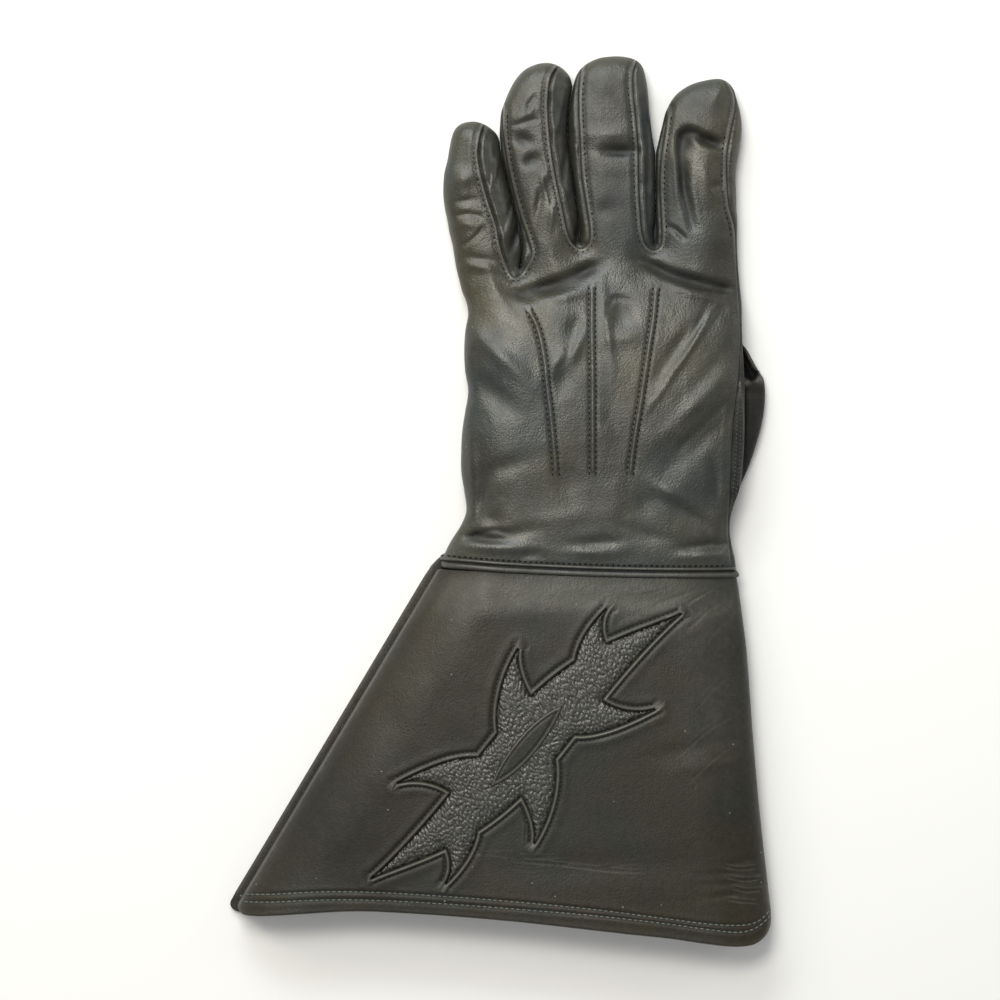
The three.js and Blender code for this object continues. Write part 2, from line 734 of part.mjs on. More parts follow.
const handBack = joined([mainBody(handPanels.intersect(aboveSeam)), ...POINTS.map(pointRidge)]);

// Thumb hole: an oval through the palm's floor and the thumb's roof.
function ovalShape(x, y, width, length) {
  return new THREE.Shape(new THREE.EllipseCurve(x, y, width / 2, length / 2).getPoints(20).slice(1));
}

const holeX = THUMB_EDGE - THUMB_WIDTH * 0.62;
const holeY = THUMB_FOOT + THUMB_LENGTH * 0.1 + THUMB_HOLE_LENGTH / 2;
const holeShape = ovalShape(holeX, holeY, THUMB_HOLE_WIDTH, THUMB_HOLE_LENGTH);
const thumbHole = prism(holeShape, THUMB_HEIGHT / 2, LIFT + HAND_LEATHER * 3);
const handPalm = mainBody(handPanels.intersect(belowSeam)).subtract(thumbHole);

function thumbForm(inset) {
  const dents = THUMB_DENTS.map((dent) => ({
    x: THUMB_EDGE + dent.across * THUMB_WIDTH,
    y: THUMB_FOOT + dent.at * THUMB_LENGTH,
    long: dent.long * THUMB_WIDTH,
    wide: dent.wide * THUMB_WIDTH,
    turn: radians(dent.turn),
    deep: dent.deep * THUMB_HEIGHT,
  }));
  return loft(
    THUMB_SECTIONS.map((row, index) => {
      const ends = index === 0 ? inset : index === THUMB_SECTIONS.length - 1 ? -inset : 0;
      const y = THUMB_FOOT + row.at * THUMB_LENGTH + ends;
      const middle = THUMB_HEIGHT * FOLD_SHARE;
      const frame = {
        left: THUMB_EDGE + row.inner * THUMB_WIDTH,
        right: THUMB_EDGE + row.outer * THUMB_WIDTH,
        low: middle * (1 - row.high),
        high: mix(middle, THUMB_HEIGHT, row.high),
      };
      return section(frame, inset, THUMB_SIDES, (x, z, share) => {
        return new THREE.Vector3(x, y, z - depth(dents, x, y) * upperShare(share));
      });
    }),
  );
}

const thumb = thumbForm(0).subtract(thumbForm(HAND_LEATHER)).subtract(thumbHole);

// Wrist welt: at is a share of its width, proud a share of its thickness.
const WELT_SECTIONS = [
  { at: -0.5, proud: 0.6 },
  { at: -0.25, proud: 1 },
  { at: 0, proud: 0.65 },
  { at: 0.25, proud: 1 },
  { at: 0.5, proud: 0.6 },
];
const weltOuter = loft(
  WELT_SECTIONS.map((row) =>
    bodyRing(row.at * WELT_WIDTH, -SEAM_GAP - WELT_THICKNESS * row.proud),
  ),
);
const weltRows = [-1, ...WELT_SECTIONS.slice(1, -1).map((row) => row.at), 1];
const weltInner = tube(-SEAM_GAP, weltRows.map((at) => at * WELT_WIDTH));
const welt = weltOuter.subtract(weltInner);

// Cuff
const hemY = (row) => -CUFF_LENGTH * (1 + row.drop);

function cuffOutline() {
  const wrist = bodyFrame(0);
  const mouth = bodyFrame(-CUFF_LENGTH);
  const left = mouth.left - UNDER_FLANGE - SEAM_GAP;
  const right = mouth.right + SEAM_GAP;
  const beyond = Math.max(wrist.right, mouth.right) + PAST;
  const hem = HEM.map((row) => new THREE.Vector2(mix(left, right, row.across), hemY(row)));
  const [first, last] = [hem[0], hem[hem.length - 1]];
  const wall = new THREE.Vector2(wrist.left - mouth.left, CUFF_LENGTH).normalize();
  const shape = new THREE.Shape();
  shape.moveTo(wrist.left - UNDER_FLANGE * 3, -SEAM_GAP / 2);
  shape.lineTo(first.x + wall.x * MOUTH_CORNER, first.y + wall.y * MOUTH_CORNER);
  shape.quadraticCurveTo(first.x, first.y, first.x + MOUTH_CORNER, first.y);
  shape.splineThru(hem.slice(1, -1));
  shape.quadraticCurveTo(last.x, last.y, last.x - 1, last.y + LOWER_CORNER);
  shape.lineTo(beyond, mix(0, -CUFF_LENGTH, 0.8));
  shape.lineTo(beyond, -SEAM_GAP / 2);
  return shape;
}

const cuffTrim = prism(cuffOutline());
const cuffTube = (inset) => tube(inset, cuffRows);
const cuffInner = tube(CUFF_LEATHER, [cuffRows[0] - PAST, ...cuffRows.slice(1, -1), PAST]);
const cuffShell = cuffTube(0).subtract(cuffInner);

// The under panel stands out past the upper one on the little finger's side.
function underFlange() {
  return loft(
    cuffRows.map((y) => {
      const { left, low } = bodyFrame(y);
      const [out, root] = [left - UNDER_FLANGE, left + CUFF_LEATHER * 3];
      return [
        new THREE.Vector3(out + FLANGE_ROUND, y, low),
        new THREE.Vector3(root, y, low),
        new THREE.Vector3(root, y, low + CUFF_LEATHER),
        new THREE.Vector3(out + FLANGE_ROUND, y, low + CUFF_LEATHER),
        new THREE.Vector3(out, y, low + CUFF_LEATHER / 2),
      ];
    }),
  );
}

// Inlay: a slender pointed body on a bent spine, with hooked thorns on both sides.
const motifCentre = new THREE.Vector2(
  mix(WRIST_SHIFT, MOUTH_SHIFT, 0.5) + MOTIF_SHIFT,
  -CUFF_LENGTH * 0.5,
);

function motifPoint(along, over) {
  const half = MOTIF_LENGTH / 2;
  const bent = over + MOTIF_BEND * Math.sin(Math.PI * along);
  return new THREE.Vector2(along * half, bent * half)
    .rotateAround(new THREE.Vector2(), radians(MOTIF_TURN))
    .add(motifCentre);
}

function leafShape(length, width, blunt) {
  const half = MOTIF_LENGTH / 2;
  const steps = 12;
  const edge = (side) => {
    const points = [];
    for (let i = 0; i < steps; i++) {
      const along = side * mix(1, -1, i / steps);
      const over = (side * (1 - along ** 2) ** blunt * width) / (2 * half);
      points.push(motifPoint((along * length) / (2 * half), over));
    }
    return points;
  };
  return new THREE.Shape([...edge(1), ...edge(-1)]);
}

function thornShape(thorn) {
  const root = 0.03 * thorn.side;
  const [near, far] = [thorn.at - thorn.base / 2, thorn.at + thorn.base / 2];
  const tip = { along: thorn.at + thorn.sweep, over: thorn.side * thorn.reach };
  const steps = 4;
  const bend = (from, pull) => {
    const points = [];
    for (let i = 0; i < steps; i++) {
      const t = i / steps;
      const along = (1 - t) ** 2 * from + 2 * t * (1 - t) * (from - pull) + t ** 2 * tip.along;
      const over = (1 - t) ** 2 * root + (1 - (1 - t) ** 2) * (0.5 + t / 2) * tip.over;
      points.push(motifPoint(along, over));
    }
    return points;
  };
  const away = Math.sign(thorn.sweep);
  const outer = bend(away > 0 ? near : far, away * 0.04);
  const inner = bend(away > 0 ? far : near, away * 0.02);
  const end = motifPoint(tip.along, tip.over);
  const points = [...outer, end, ...inner.reverse()];
  return new THREE.Shape(THREE.ShapeUtils.isClockWise(points) ? points.reverse() : points);
}

const motif = joined([
  prism(leafShape(MOTIF_LENGTH, MOTIF_BODY, 1.3)),
  ...THORNS.map((thorn) => prism(thornShape(thorn))),
]);
const cuffBack = mainBody(cuffShell.intersect(aboveSeam)).intersect(cuffTrim).subtract(motif);
const cuffPalm = mainBody(cuffShell.intersect(belowSeam)).add(underFlange()).intersect(cuffTrim);

// A layer of leather that follows the upper cuff between two insets.
function layer(outer, inner) {
  return cuffTube(outer).subtract(cuffTube(inner)).intersect(aboveSeam);
}

const patchInset = CUFF_LEATHER + SEAM_GAP;
const patchShape = leafShape(MOTIF_LENGTH * 1.1, MOTIF_LENGTH * 0.44, 0.55);
const patchLayer = layer(patchInset, patchInset + INLAY_LEATHER);
const inlayPatch = mainBody(patchLayer.intersect(prism(patchShape)));
const leafInset = CUFF_LEATHER - INLAY_LEATHER;
const inlayLeaf = layer(leafInset, CUFF_LEATHER).intersect(
  prism(leafShape(LEAF_LENGTH, LEAF_WIDTH, 0.8)),
);

// Materials
const softLeather = new THREE.MeshStandardMaterial({ color: 0x2b2a27, roughness: 0.45 });
const sideLeather = new THREE.MeshStandardMaterial({ color: 0x1d1c1b, roughness: 0.5 });
const weltLeather = new THREE.MeshStandardMaterial({ color: 0x2d2d2b, roughness: 0.45 });
const cuffLeather = new THREE.MeshStandardMaterial({ color: 0x26241f, roughness: 0.5 });
const pebbledLeather = new THREE.MeshStandardMaterial({ color: 0x201f1d, roughness: 0.55 });

const glove = new THREE.Group();
glove.name = "gauntlet_glove";

function addPiece(name, solid, material) {
  const mesh = new THREE.Mesh(geometryFrom(solid), material);
  mesh.name = name;
  glove.add(mesh);
}

addPiece("hand_back", handBack, softLeather);
addPiece("hand_palm", handPalm, softLeather);
strips.forEach((strip, index) => {
  addPiece(STRIPS[index].name, mainBody(handShell.intersect(strip)), sideLeather);
});
addPiece("thumb", thumb, softLeather);
addPiece("wrist_welt_back", mainBody(welt.intersect(aboveSeam)), weltLeather);
addPiece("wrist_welt_palm", mainBody(welt.intersect(belowSeam)), weltLeather);
addPiece("cuff_back", cuffBack, cuffLeather);
addPiece("cuff_palm", cuffPalm, cuffLeather);
addPiece("inlay_patch", inlayPatch, pebbledLeather);
addPiece("inlay_leaf", inlayLeaf, cuffLeather);

// The origin is under the middle of the glove, on the surface that it lies on.
const box = new THREE.Box3().setFromObject(glove);
const centre = box.getCenter(new THREE.Vector3());
for (const mesh of glove.children) mesh.position.set(-centre.x, -centre.y, -box.min.z);

export default glove;
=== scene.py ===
"""Black leather gauntlet glove, lying on its palm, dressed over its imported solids.

The hand and the cuff are two sheets of leather over one plan outline, which meet at its fold.
Every panel is a region of a sheet, bounded by folds and seams. Plan points are first written as
pixels of the photograph and then turned into millimetres of the shared frame.
"""

import math

import bpy
import numpy as np
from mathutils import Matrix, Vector
from mathutils.geometry import delaunay_2d_cdt
from mathutils.kdtree import KDTree


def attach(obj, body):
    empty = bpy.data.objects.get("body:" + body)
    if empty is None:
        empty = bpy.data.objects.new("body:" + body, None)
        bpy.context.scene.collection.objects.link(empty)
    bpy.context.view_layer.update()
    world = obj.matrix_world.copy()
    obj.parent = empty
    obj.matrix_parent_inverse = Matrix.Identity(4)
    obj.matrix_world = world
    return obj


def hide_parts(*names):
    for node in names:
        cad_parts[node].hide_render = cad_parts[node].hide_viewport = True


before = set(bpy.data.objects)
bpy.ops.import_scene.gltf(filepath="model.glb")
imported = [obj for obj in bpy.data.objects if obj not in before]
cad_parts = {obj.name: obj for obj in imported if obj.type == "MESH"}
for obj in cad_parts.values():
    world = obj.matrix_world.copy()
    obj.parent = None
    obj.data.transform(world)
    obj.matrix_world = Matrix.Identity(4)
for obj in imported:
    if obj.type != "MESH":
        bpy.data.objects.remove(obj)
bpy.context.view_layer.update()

# Scale of the photograph, the pixel that lies over the frame's origin, and a mm in metres and a
# metre in mm
MM_PER_PIXEL = 0.414
ORIGIN = (231.9, 488.8)
METRE = 0.001
PER_METRE = 1000.0

# In mm: leather thicknesses, half width of the slit between two fingers, how far a side strip
# goes under the seam, distances of the stitches from a seam, a point's ridge, the inlay's edge
# and the wrist seam, and their pitch
HAND_LEATHER = 1.2
THIN_LEATHER = HAND_LEATHER * 0.7
CUFF_LEATHER = 2.0
PATCH_LEATHER = 1.2
LEAF_LEATHER = 0.9
SLIT = 0.07
STRIP_OVERLAP = 1.2
SEAM_STITCH = 1.95
RIDGE_STITCH = 1.4
INLAY_STITCH = 2.35
WRIST_STITCH = 2.2
STITCH_PITCH = 2.25

# Swell and groove of a stitched seam, in mm
SEAM_SWELL = 0.4
GROOVE = 0.42
GROOVE_WIDTH = 0.45
# Height and width of a stitched point's ridge
RIDGE = 0.8
RIDGE_WIDTH = 0.6
# Photo rows: from where the side seam has no stitches, how soon they end, and their last one
SIDE_STITCH_END, SIDE_STITCH_RUN, SIDE_STITCH_LAST = 238, 24, 226
# Photo rows at which the strip beside the thumb is shaded, and how soon it is
SHADE_TOP, SHADE_TOP_RUN = 330, 30
SHADE_END, SHADE_END_RUN = 505, 20
# The cuff's left fold edge has a painted highlight left of a line through this pixel, of this
# slope
PALE_EDGE = (175, 562)
PALE_SLOPE = 0.58

# Rows of points along the edges and the guide lines of a region
EDGE_ROWS = (0.08, 0.28, 0.6, 1.0, 1.5, 2.1)
GUIDE_ROWS = (0.0, 0.4, 0.8, 1.3, 1.8)
CUFF_EDGE_ROWS = (0.08, 0.3, 0.6, 0.95, 1.35, 1.8, 2.3, 2.8, 3.4, 4.0)
CUFF_GUIDE_ROWS = (0.0, 0.45, 0.9, 1.5)
LEAF_EDGE_ROWS = (0.1, 0.3, 0.6, 1.0)
# Rows nearer to an edge than this keep every point, and no point of a row comes closer to a bent
# edge than this share of the row's distance
DENSE_ROWS = 1.2
CLEARANCE = 0.93
# Elsewhere, rows of points lie this share of their spacing apart, and are uneven by the other
ROW_SHARE = 0.87
UNEVENNESS = 0.3
# Points closer than NEAR_ZERO mm are one, triangles smaller than LEAST_AREA are dropped, and the
# points of a weld agree to 1 / WELD_STEPS mm
NEAR_ZERO = 1e-6
LEAST_AREA = 1e-7
WELD_STEPS = 500

# Outline of the flattened glove. Each finger's run ends where it meets its neighbour.
CUFF_LEFT = [(-72, 961), (-36, 900), (0, 840), (83, 701), (166, 562)]
LITTLE_EDGE = [
    (166, 562), (173, 549), (182, 531), (193, 513.5), (198, 500), (196, 480), (193, 460),
    (193, 440), (194, 420), (197, 400), (200, 380), (197, 360), (196, 340), (197, 320),
    (200, 302), (198, 290), (194, 280), (191, 268), (188, 256), (186, 244), (184, 232),
    (181, 220), (179, 208), (176.5, 196), (175, 184), (175, 172), (176, 160), (179, 148),
    (181, 136), (183.5, 124), (187, 116), (193, 111), (200, 109), (208, 109), (216, 111.5),
    (223, 116), (228.5, 121.5), (232, 130),
]
RING_EDGE = [
    (232, 130), (231.5, 121), (232, 111), (233, 100), (237, 88), (242, 76), (249, 64.5),
    (257, 56.5), (266, 52), (274, 50), (282, 50), (290, 52.5), (297, 57.5), (302, 64), (305, 74),
]
MIDDLE_EDGE = [
    (305, 74), (308, 64), (312, 57), (318, 51.5), (326, 47), (334, 44.5), (342, 43.5),
    (352, 43.2), (361, 44.5), (369, 47.5), (374.5, 53), (378, 64), (380, 76), (382, 100),
    (385, 124), (388, 142),
]
INDEX_EDGE = [
    (388, 142), (390.5, 131), (393, 120), (395, 112), (398, 100), (404, 88), (409, 81.5),
    (416, 76), (424, 71.5), (438, 67.5), (452, 66), (460, 69), (466, 76), (470, 88),
    (473, 100), (474.5, 112), (474, 124), (472, 136), (470, 148), (468.5, 160), (468.5, 172),
    (469, 184), (469, 196), (470, 208), (470, 232), (471, 256), (472, 268), (474, 292),
    (473.5, 312), (474, 332), (475, 352), (476, 372), (476, 400), (475.5, 430), (474, 455),
    (471, 478), (465.5, 494), (462, 508), (462, 522), (464.5, 536), (467.5, 550), (468, 562),
]
CUFF_RIGHT = [
    (468, 562), (470.5, 575), (474, 600), (479, 640), (485, 720), (492, 800), (501, 880),
    (508, 940),
]
# Lines between two fingers, from the tips down to the crotch
GAPS = [
    [(232, 130), (233, 140), (241, 176), (250, 212), (254, 235), (252, 257)],
    [(305, 74), (301, 97), (300, 120), (305, 165), (311, 210), (312, 231)],
    [(388, 142), (388, 190), (388, 232)],
]
# Seams round the side strips, down one finger, round the crotch and up the next
SEAMS = [
    [
        (216, 111.5), (212, 127), (210, 143), (213, 163), (218, 183), (224, 202), (229, 217),
        (232, 234), (238, 252), (247, 266), (256, 257), (263, 243), (260, 229), (254, 211),
        (248, 190), (243, 170), (238, 146), (235, 122), (234.6, 94),
    ],
    [
        (290, 52.5), (283, 66), (280, 90), (281, 115), (283.5, 140), (287.5, 165), (292, 186),
        (296, 204), (300, 222), (305, 232), (313, 236.5), (320, 232), (321.5, 222),
        (318, 196), (313.5, 166), (311.5, 130), (310, 96), (310.5, 74), (314, 55),
    ],
    [
        (369, 47.5), (365, 62), (365, 82), (368, 110), (370, 139), (370.5, 165), (372, 200),
        (375, 226), (379, 235), (385.5, 238.5), (391.5, 235), (393.5, 226), (392.5, 200),
        (391.5, 170), (393, 145), (396.5, 122), (399.5, 97),
    ],
]
# Seam along the index finger's side, down to the wrist
SIDE_SEAM = [
    (461, 69.5), (467, 84), (466.5, 100), (462, 122), (458.5, 146), (458.5, 172), (461, 196),
    (466.5, 216), (468, 235), (469.5, 262), (471, 292), (472, 328), (470.5, 350), (469, 370),
    (465.5, 398), (463, 430), (462, 456), (460.5, 494), (460, 515), (461.5, 535), (464, 556),
]
# Wrist seam, upper edge of the cuff, its hem, and the two rows of stitches along the hem
WRIST = [
    (173, 549.5), (200, 551.5), (240, 554.5), (330, 558.5), (400, 559.8), (464, 559.6),
    (467.8, 559.4),
]
CUFF_TOP = [(168.5, 558), (200, 559.5), (240, 561), (330, 564), (420, 565.5), (468.3, 565)]
HEM = [
    (-27.5, 886), (-31.5, 896), (-26, 902.5), (-10, 903.6), (0, 903), (32, 900.5), (90, 897.5),
    (149, 900), (205, 904), (260, 909), (357, 920), (400, 924.5), (438, 930), (470, 933),
    (487, 930.5), (497.5, 923), (502.6, 913), (503.4, 900),
]
HEM_UPPER = [
    (-24, 884), (0, 882), (45, 878.5), (90, 878), (170, 882), (260, 889), (330, 896),
    (400, 905), (440, 910), (464, 911.5), (480, 911), (492, 907), (501, 899),
]
HEM_LOWER = [
    (-25, 891), (0, 889.5), (45, 886.5), (90, 886), (170, 889.5), (260, 896), (330, 902),
    (400, 910), (440, 915.5), (470, 918.5), (484, 916), (495, 910), (503, 903),
]
# The under panel's left edge stands out by this much, from this pixel down and by these shares
# at these photo rows. Its upper end runs back over two more pixels to the cuff's upper edge, and
# its lower end takes the hem along with it.
FLANGE = 7.2 * MM_PER_PIXEL
FLANGE_TOP = (176, 543)
FLANGE_ROWS = [543, 550, 558, 570]
FLANGE_SHARES = [0.03, 0.55, 0.9, 1.0]
FLANGE_BACK = [(187, 547), (199, 553)]
FLANGE_SKIP = 16
HEM_SHIFT = 1.17 * FLANGE
HEM_SHIFT_RUN = 40
# Stitched points on the back of the hand
POINTS = [
    [(260, 298), (268, 314), (274, 336), (279, 376), (284, 420), (288, 466)],
    [(324, 275), (323.5, 320), (324, 372), (324, 420), (324, 465)],
    [(388, 276), (385, 305), (380, 338), (372, 390), (365, 432), (361, 465)],
]

# Folds and hollows of the leather: x, y, half length, half width, turn, depth in mm (below 0
# where the leather stands up). A hollow longer than this share of its width is a long one, and
# the hand's are deeper than stated by this share.
LONG_SHARE = 1.3
HAND_HOLLOW_SHARE = 1.35
HAND_HOLLOWS = [
    (441, 127, 12, 6, -8, 2.0), (417, 130, 8.5, 12, 0, 2.2), (416, 166, 5.5, 24, -4, 1.3),
    (408, 158, 3.2, 30, 4, -0.5), (437, 165, 9, 17, 10, -0.7), (448, 176, 5, 5, 0, 0.8),
    (352, 138, 18, 5.2, 0, 2.0),
    (349, 123, 24, 7, 3, -0.7), (345, 158, 22, 8, -4, -0.25), (338, 199, 9, 9, 0, 0.8),
    (255, 126, 9, 6, -20, 1.3), (263, 147, 8, 5.5, 30, 1.2), (276, 168, 4.5, 12, -12, -0.9),
    (284, 206, 3, 17, -10, -0.7), (271, 192, 4, 20, -10, 0.8), (256, 104, 14, 4, 25, -0.5),
    (195, 168, 12, 8, 20, -0.9), (197, 188, 13, 3.5, 8, 0.5),
    (201, 214, 12, 4, -8, -0.4), (214, 246, 14, 3.5, -8, 0.5),
    (210, 256, 16, 4, -10, -0.6),
    (281, 273, 24, 7, 14, 2.1), (318, 257, 15, 6, 26, 1.7), (253, 282, 16, 5, -20, 0.9),
    (300, 285, 26, 6, 12, -0.7), (388, 254, 16, 5.5, -24, 1.5), (423, 268, 26, 6, -15, 2.0),
    (458, 275, 14, 5, -6, 1.5), (432, 284, 28, 6, -16, -0.9), (352, 300, 10, 14, 12, 1.3),
    (339, 318, 4.5, 34, 6, -0.6), (358, 326, 22, 8, 10, -0.4), (306, 318, 9, 12, -24, 0.8),
    (290, 352, 7, 16, -40, -0.6), (310, 334, 5, 18, -20, -0.7), (294, 372, 9, 16, -20, 0.5),
    (408, 338, 7, 40, -36, 0.7), (416, 344, 3.4, 52, -34, -0.9), (446, 305, 8, 20, -30, 0.5),
    (425, 395, 9, 50, -46, -0.5), (436, 424, 11, 42, -46, 0.7), (436, 366, 8, 30, -40, 0.35),
    (345, 408, 12, 30, 16, 0.4), (400, 450, 16, 26, -46, 0.5), (206, 306, 10, 12, 0, 0.5),
    (232, 346, 42, 8, -42, -0.8), (222, 374, 34, 11, -40, 1.0), (226, 420, 14, 22, 10, -0.5),
    (204, 352, 5, 14, -10, 0.5), (246, 300, 10, 26, 14, 0.5), (236, 452, 22, 9, 20, 0.7),
    (203, 452, 5, 26, 4, -0.7), (213, 486, 6, 22, -16, 1.3), (206, 498, 4, 16, -10, -0.7),
    (225, 508, 9, 9, 30, 1.0), (214, 524, 22, 5, -6, 1.7), (250, 518, 22, 7, 12, 0.9),
    (235, 536, 40, 6, -3, -0.9), (300, 506, 30, 10, 10, -0.6), (330, 528, 26, 6, 4, 0.9),
    (322, 541, 20, 5, -3, -0.5), (262, 540, 12, 5, 10, 0.6), (380, 520, 28, 8, -14, 0.6),
    (420, 500, 26, 7, -30, 0.8), (402, 482, 20, 7, -28, -0.7), (438, 531, 24, 5, 8, 1.2),
    (440, 544, 26, 5, 2, -0.9), (448, 515, 8, 16, 10, -0.5), (345, 490, 14, 20, 0, -0.5),
    (378, 492, 12, 12, 0, 0.6), (300, 470, 12, 22, 8, 0.6), (447, 470, 6, 20, 10, 0.6),
]
CUFF_HOLLOWS = [
    (420, 600, 44, 6, 24, 0.35), (436, 612, 36, 5, 30, -0.3), (452, 630, 6, 30, 12, 0.35),
    (430, 730, 50, 8, 12, 0.4), (445, 752, 40, 6, 8, -0.3), (455, 780, 12, 40, -6, 0.4),
    (460, 858, 26, 3, 3, 0.4), (468, 868, 30, 2.6, 2, 0.45), (462, 880, 26, 2.6, 6, 0.35),
    (478, 846, 18, 2.6, 10, 0.35), (330, 845, 90, 14, 2, 0.5), (180, 830, 60, 20, 30, 0.4),
    (200, 660, 24, 60, 30, -0.5), (250, 600, 60, 10, 4, -0.35), (360, 585, 60, 8, 0, 0.4),
    (60, 850, 40, 18, 30, 0.4), (130, 720, 20, 50, 30, 0.4),
]
# Fine creases of the cuff: width and depth in mm, then points
CUFF_CREASES = [
    (0.61, 0.32, [(448, 574), (425, 588), (405, 600), (388, 612)]),
    (0.54, 0.28, [(462, 584), (438, 600), (418, 618)]),
    (0.54, 0.28, [(430, 577), (406, 586), (384, 594)]),
    (0.48, 0.24, [(404, 575), (380, 582), (352, 585)]),
    (0.48, 0.26, [(462, 604), (446, 620), (430, 640)]),
    (0.54, 0.32, [(453, 852), (470, 855), (490, 854)]),
    (0.54, 0.37, [(456, 862), (474, 866), (495, 865)]),
    (0.54, 0.32, [(462, 873), (478, 877), (496, 876)]),
    (0.54, 0.28, [(455, 884), (472, 887), (490, 889)]),
    (0.54, 0.24, [(240, 846), (290, 850), (340, 856), (382, 858)]),
    (0.54, 0.17, [(222, 840), (256, 843), (300, 842)]),
    (0.5, 0.15, [(300, 850), (330, 854), (352, 850), (376, 848)]),
    (0.5, 0.14, [(236, 852), (262, 856), (290, 853)]),
    (0.48, 0.19, [(180, 836), (220, 840), (262, 838)]),
    (0.48, 0.19, [(254, 790), (257, 815), (255, 840)]),
    (0.54, 0.22, [(470, 700), (440, 716), (410, 742)]),
    (0.54, 0.19, [(476, 724), (446, 744), (418, 770)]),
    (0.54, 0.20, [(462, 660), (440, 680), (424, 700)]),
]

# The same on the hand, where they are broader
HAND_CREASES = [
    (2.6, 1.8, [(456, 136), (446, 133), (436, 128), (426, 122), (417, 122), (412, 130)]),
    (2.5, 1.5, [
        (417, 120), (412, 132), (412, 150), (415, 172), (419, 192), (423, 212), (427, 222),
    ]),
    (1.6, 0.9, [(398, 214), (408, 220), (418, 230)]),
    (2.8, 0.6, [(246, 282), (262, 278), (286, 271), (308, 262), (326, 252)]),
    (2.8, 0.6, [(374, 246), (390, 257), (408, 264), (434, 270), (464, 276)]),
    (1.6, 0.8, [(196, 528), (212, 522), (226, 519), (246, 522)]),
    (1.5, 0.6, [(445, 538), (454, 533), (463, 530)]),
    (1.4, 0.6, [(187, 205), (200, 203), (216, 206)]),
    (1.4, 0.6, [(193, 236), (206, 227), (218, 214)]),
    (1.3, 0.5, [(268, 84), (262, 92), (258, 104)]),
    (1.4, 0.5, [(244, 116), (256, 112), (272, 108)]),
    (1.5, 0.6, [(274, 150), (278, 168), (284, 190), (288, 208)]),
    (2.0, 0.3, [(304, 330), (296, 350), (286, 362)]),
    (1.6, 0.4, [(338, 312), (340, 296), (346, 288), (366, 290)]),
    (1.6, 0.4, [(441, 288), (424, 326), (404, 362), (382, 390)]),
    (2.4, 0.25, [(462, 384), (448, 400), (424, 424), (402, 446)]),
]

# Folds of the side strips
STRIP_HOLLOWS = [
    (247, 226, 3.4, 13, -16, 2.6), (240, 214, 2.2, 22, -14, -0.8), (256, 244, 2.6, 12, 16, -0.7),
    (309, 223, 2.4, 10, -4, 2.2), (387.5, 222, 2.2, 11, 0, 2.2), (297, 150, 2.4, 40, -8, 0.7),
    (290, 110, 2.2, 24, -14, -0.6), (380, 150, 2.4, 44, 0, 0.6), (226, 165, 2.4, 28, -12, -0.6),
    (242, 198, 2.0, 16, -12, 0.9),
]

# Broad patches of painted shade and painted sheen: x, y, half length, half width, turn, share
# (above 0 painted shade, duller and darker; below 0 painted sheen, lighter and glossier)
HAND_SHADE_AND_SHEEN_PATCHES = [
    (345, 190, 26, 36, 0, 0.62), (340, 84, 24, 26, 0, 0.42), (436, 96, 30, 20, -12, 0.5),
    (402, 190, 10, 50, 0, 0.4), (275, 90, 18, 26, -10, 0.1), (300, 505, 130, 34, -6, -0.42),
    (250, 540, 60, 10, 0, -0.25), (440, 545, 34, 10, 0, -0.25), (225, 165, 14, 20, 0, -0.15),
]
CUFF_SHADE_AND_SHEEN_PATCHES = [
    (320, 586, 150, 18, -1, -0.62), (60, 820, 100, 70, -40, 0.42), (446, 700, 26, 70, 0, -0.3),
    (436, 616, 34, 20, 30, -0.3),
]

# Names of a piece's marks (painted highlight with wear, and painted shade), colours of the painted
# highlight with wear and of dust, and gap between specks of dust in mm
MARKS = ("painted_highlight_and_wear", "painted_shade")
HIGHLIGHT_AND_WEAR_COLOUR = (0.062, 0.060, 0.050, 1)
DUST = (0.22, 0.22, 0.19, 1)
DUST_GAP = 9.0

# Height of the glove's top along its middle, by photo row
ROOF = [
    (30, 13.6), (90, 14.8), (170, 15.3), (225, 14.9), (256, 14.8), (280, 16.2), (310, 19.2),
    (350, 21.2), (400, 21.9), (455, 21.2), (500, 19.4), (530, 18.2), (548, 17.4), (562, 17.0),
    (582, 18.3), (606, 19.3), (640, 20.1), (720, 21.3), (800, 22.0), (880, 22.4), (960, 22.6),
]
# Height of the fold as a share of the top's, and how far in from it the leather rounds up: on
# the hand, on the cuff, and on the fingers by photo column, with their share of the height
FOLD_SHARE = 0.42
HAND_ROUND = 25.0
CUFF_ROUND = 27.0
FINGER_COLUMNS = [170, 207, 270, 342, 430, 480]
FINGER_ROUNDS = [10.2, 10.2, 10.4, 13.0, 14.3, 14.3]
FINGER_SHARES = [0.92, 0.92, 0.98, 1.02, 1.02, 1.02]
# Left and right edge of the lower glove, by photo row
SIDE_ROWS = [540, 562, 900]
LEFT_COLUMNS = [175, 166, -36]
RIGHT_COLUMNS = [466, 468, 503]
# Height of the cuff's two folds
CUFF_FOLD_LEFT = 2.7
CUFF_FOLD_RIGHT = 9.3
# Photo rows at which the fingers, the cuff and the cuff's folds start, and how soon they do
FINGER_START, FINGER_RUN = 292, 76
CUFF_START, CUFF_RUN = 535, 50
FOLD_START, FOLD_RUN = 500, 60
# How far in from the fold hollows and ripples fade, and the lower sheet comes down to the floor
EDGE_CALM = 7.0
PALM_ROUND = 12.0
FINGER_UNDER_ROUND = 9.0
# Ripples of the hand's loose leather and the cuff's stiff leather: size, seed, height in mm
LOOSE = [(17, 3, 0.28), (8.5, 5, 0.16), (4.6, 9, 0.06)]
STIFF = [(42, 11, 0.35), (15, 12, 0.07), (6, 14, 0.025)]

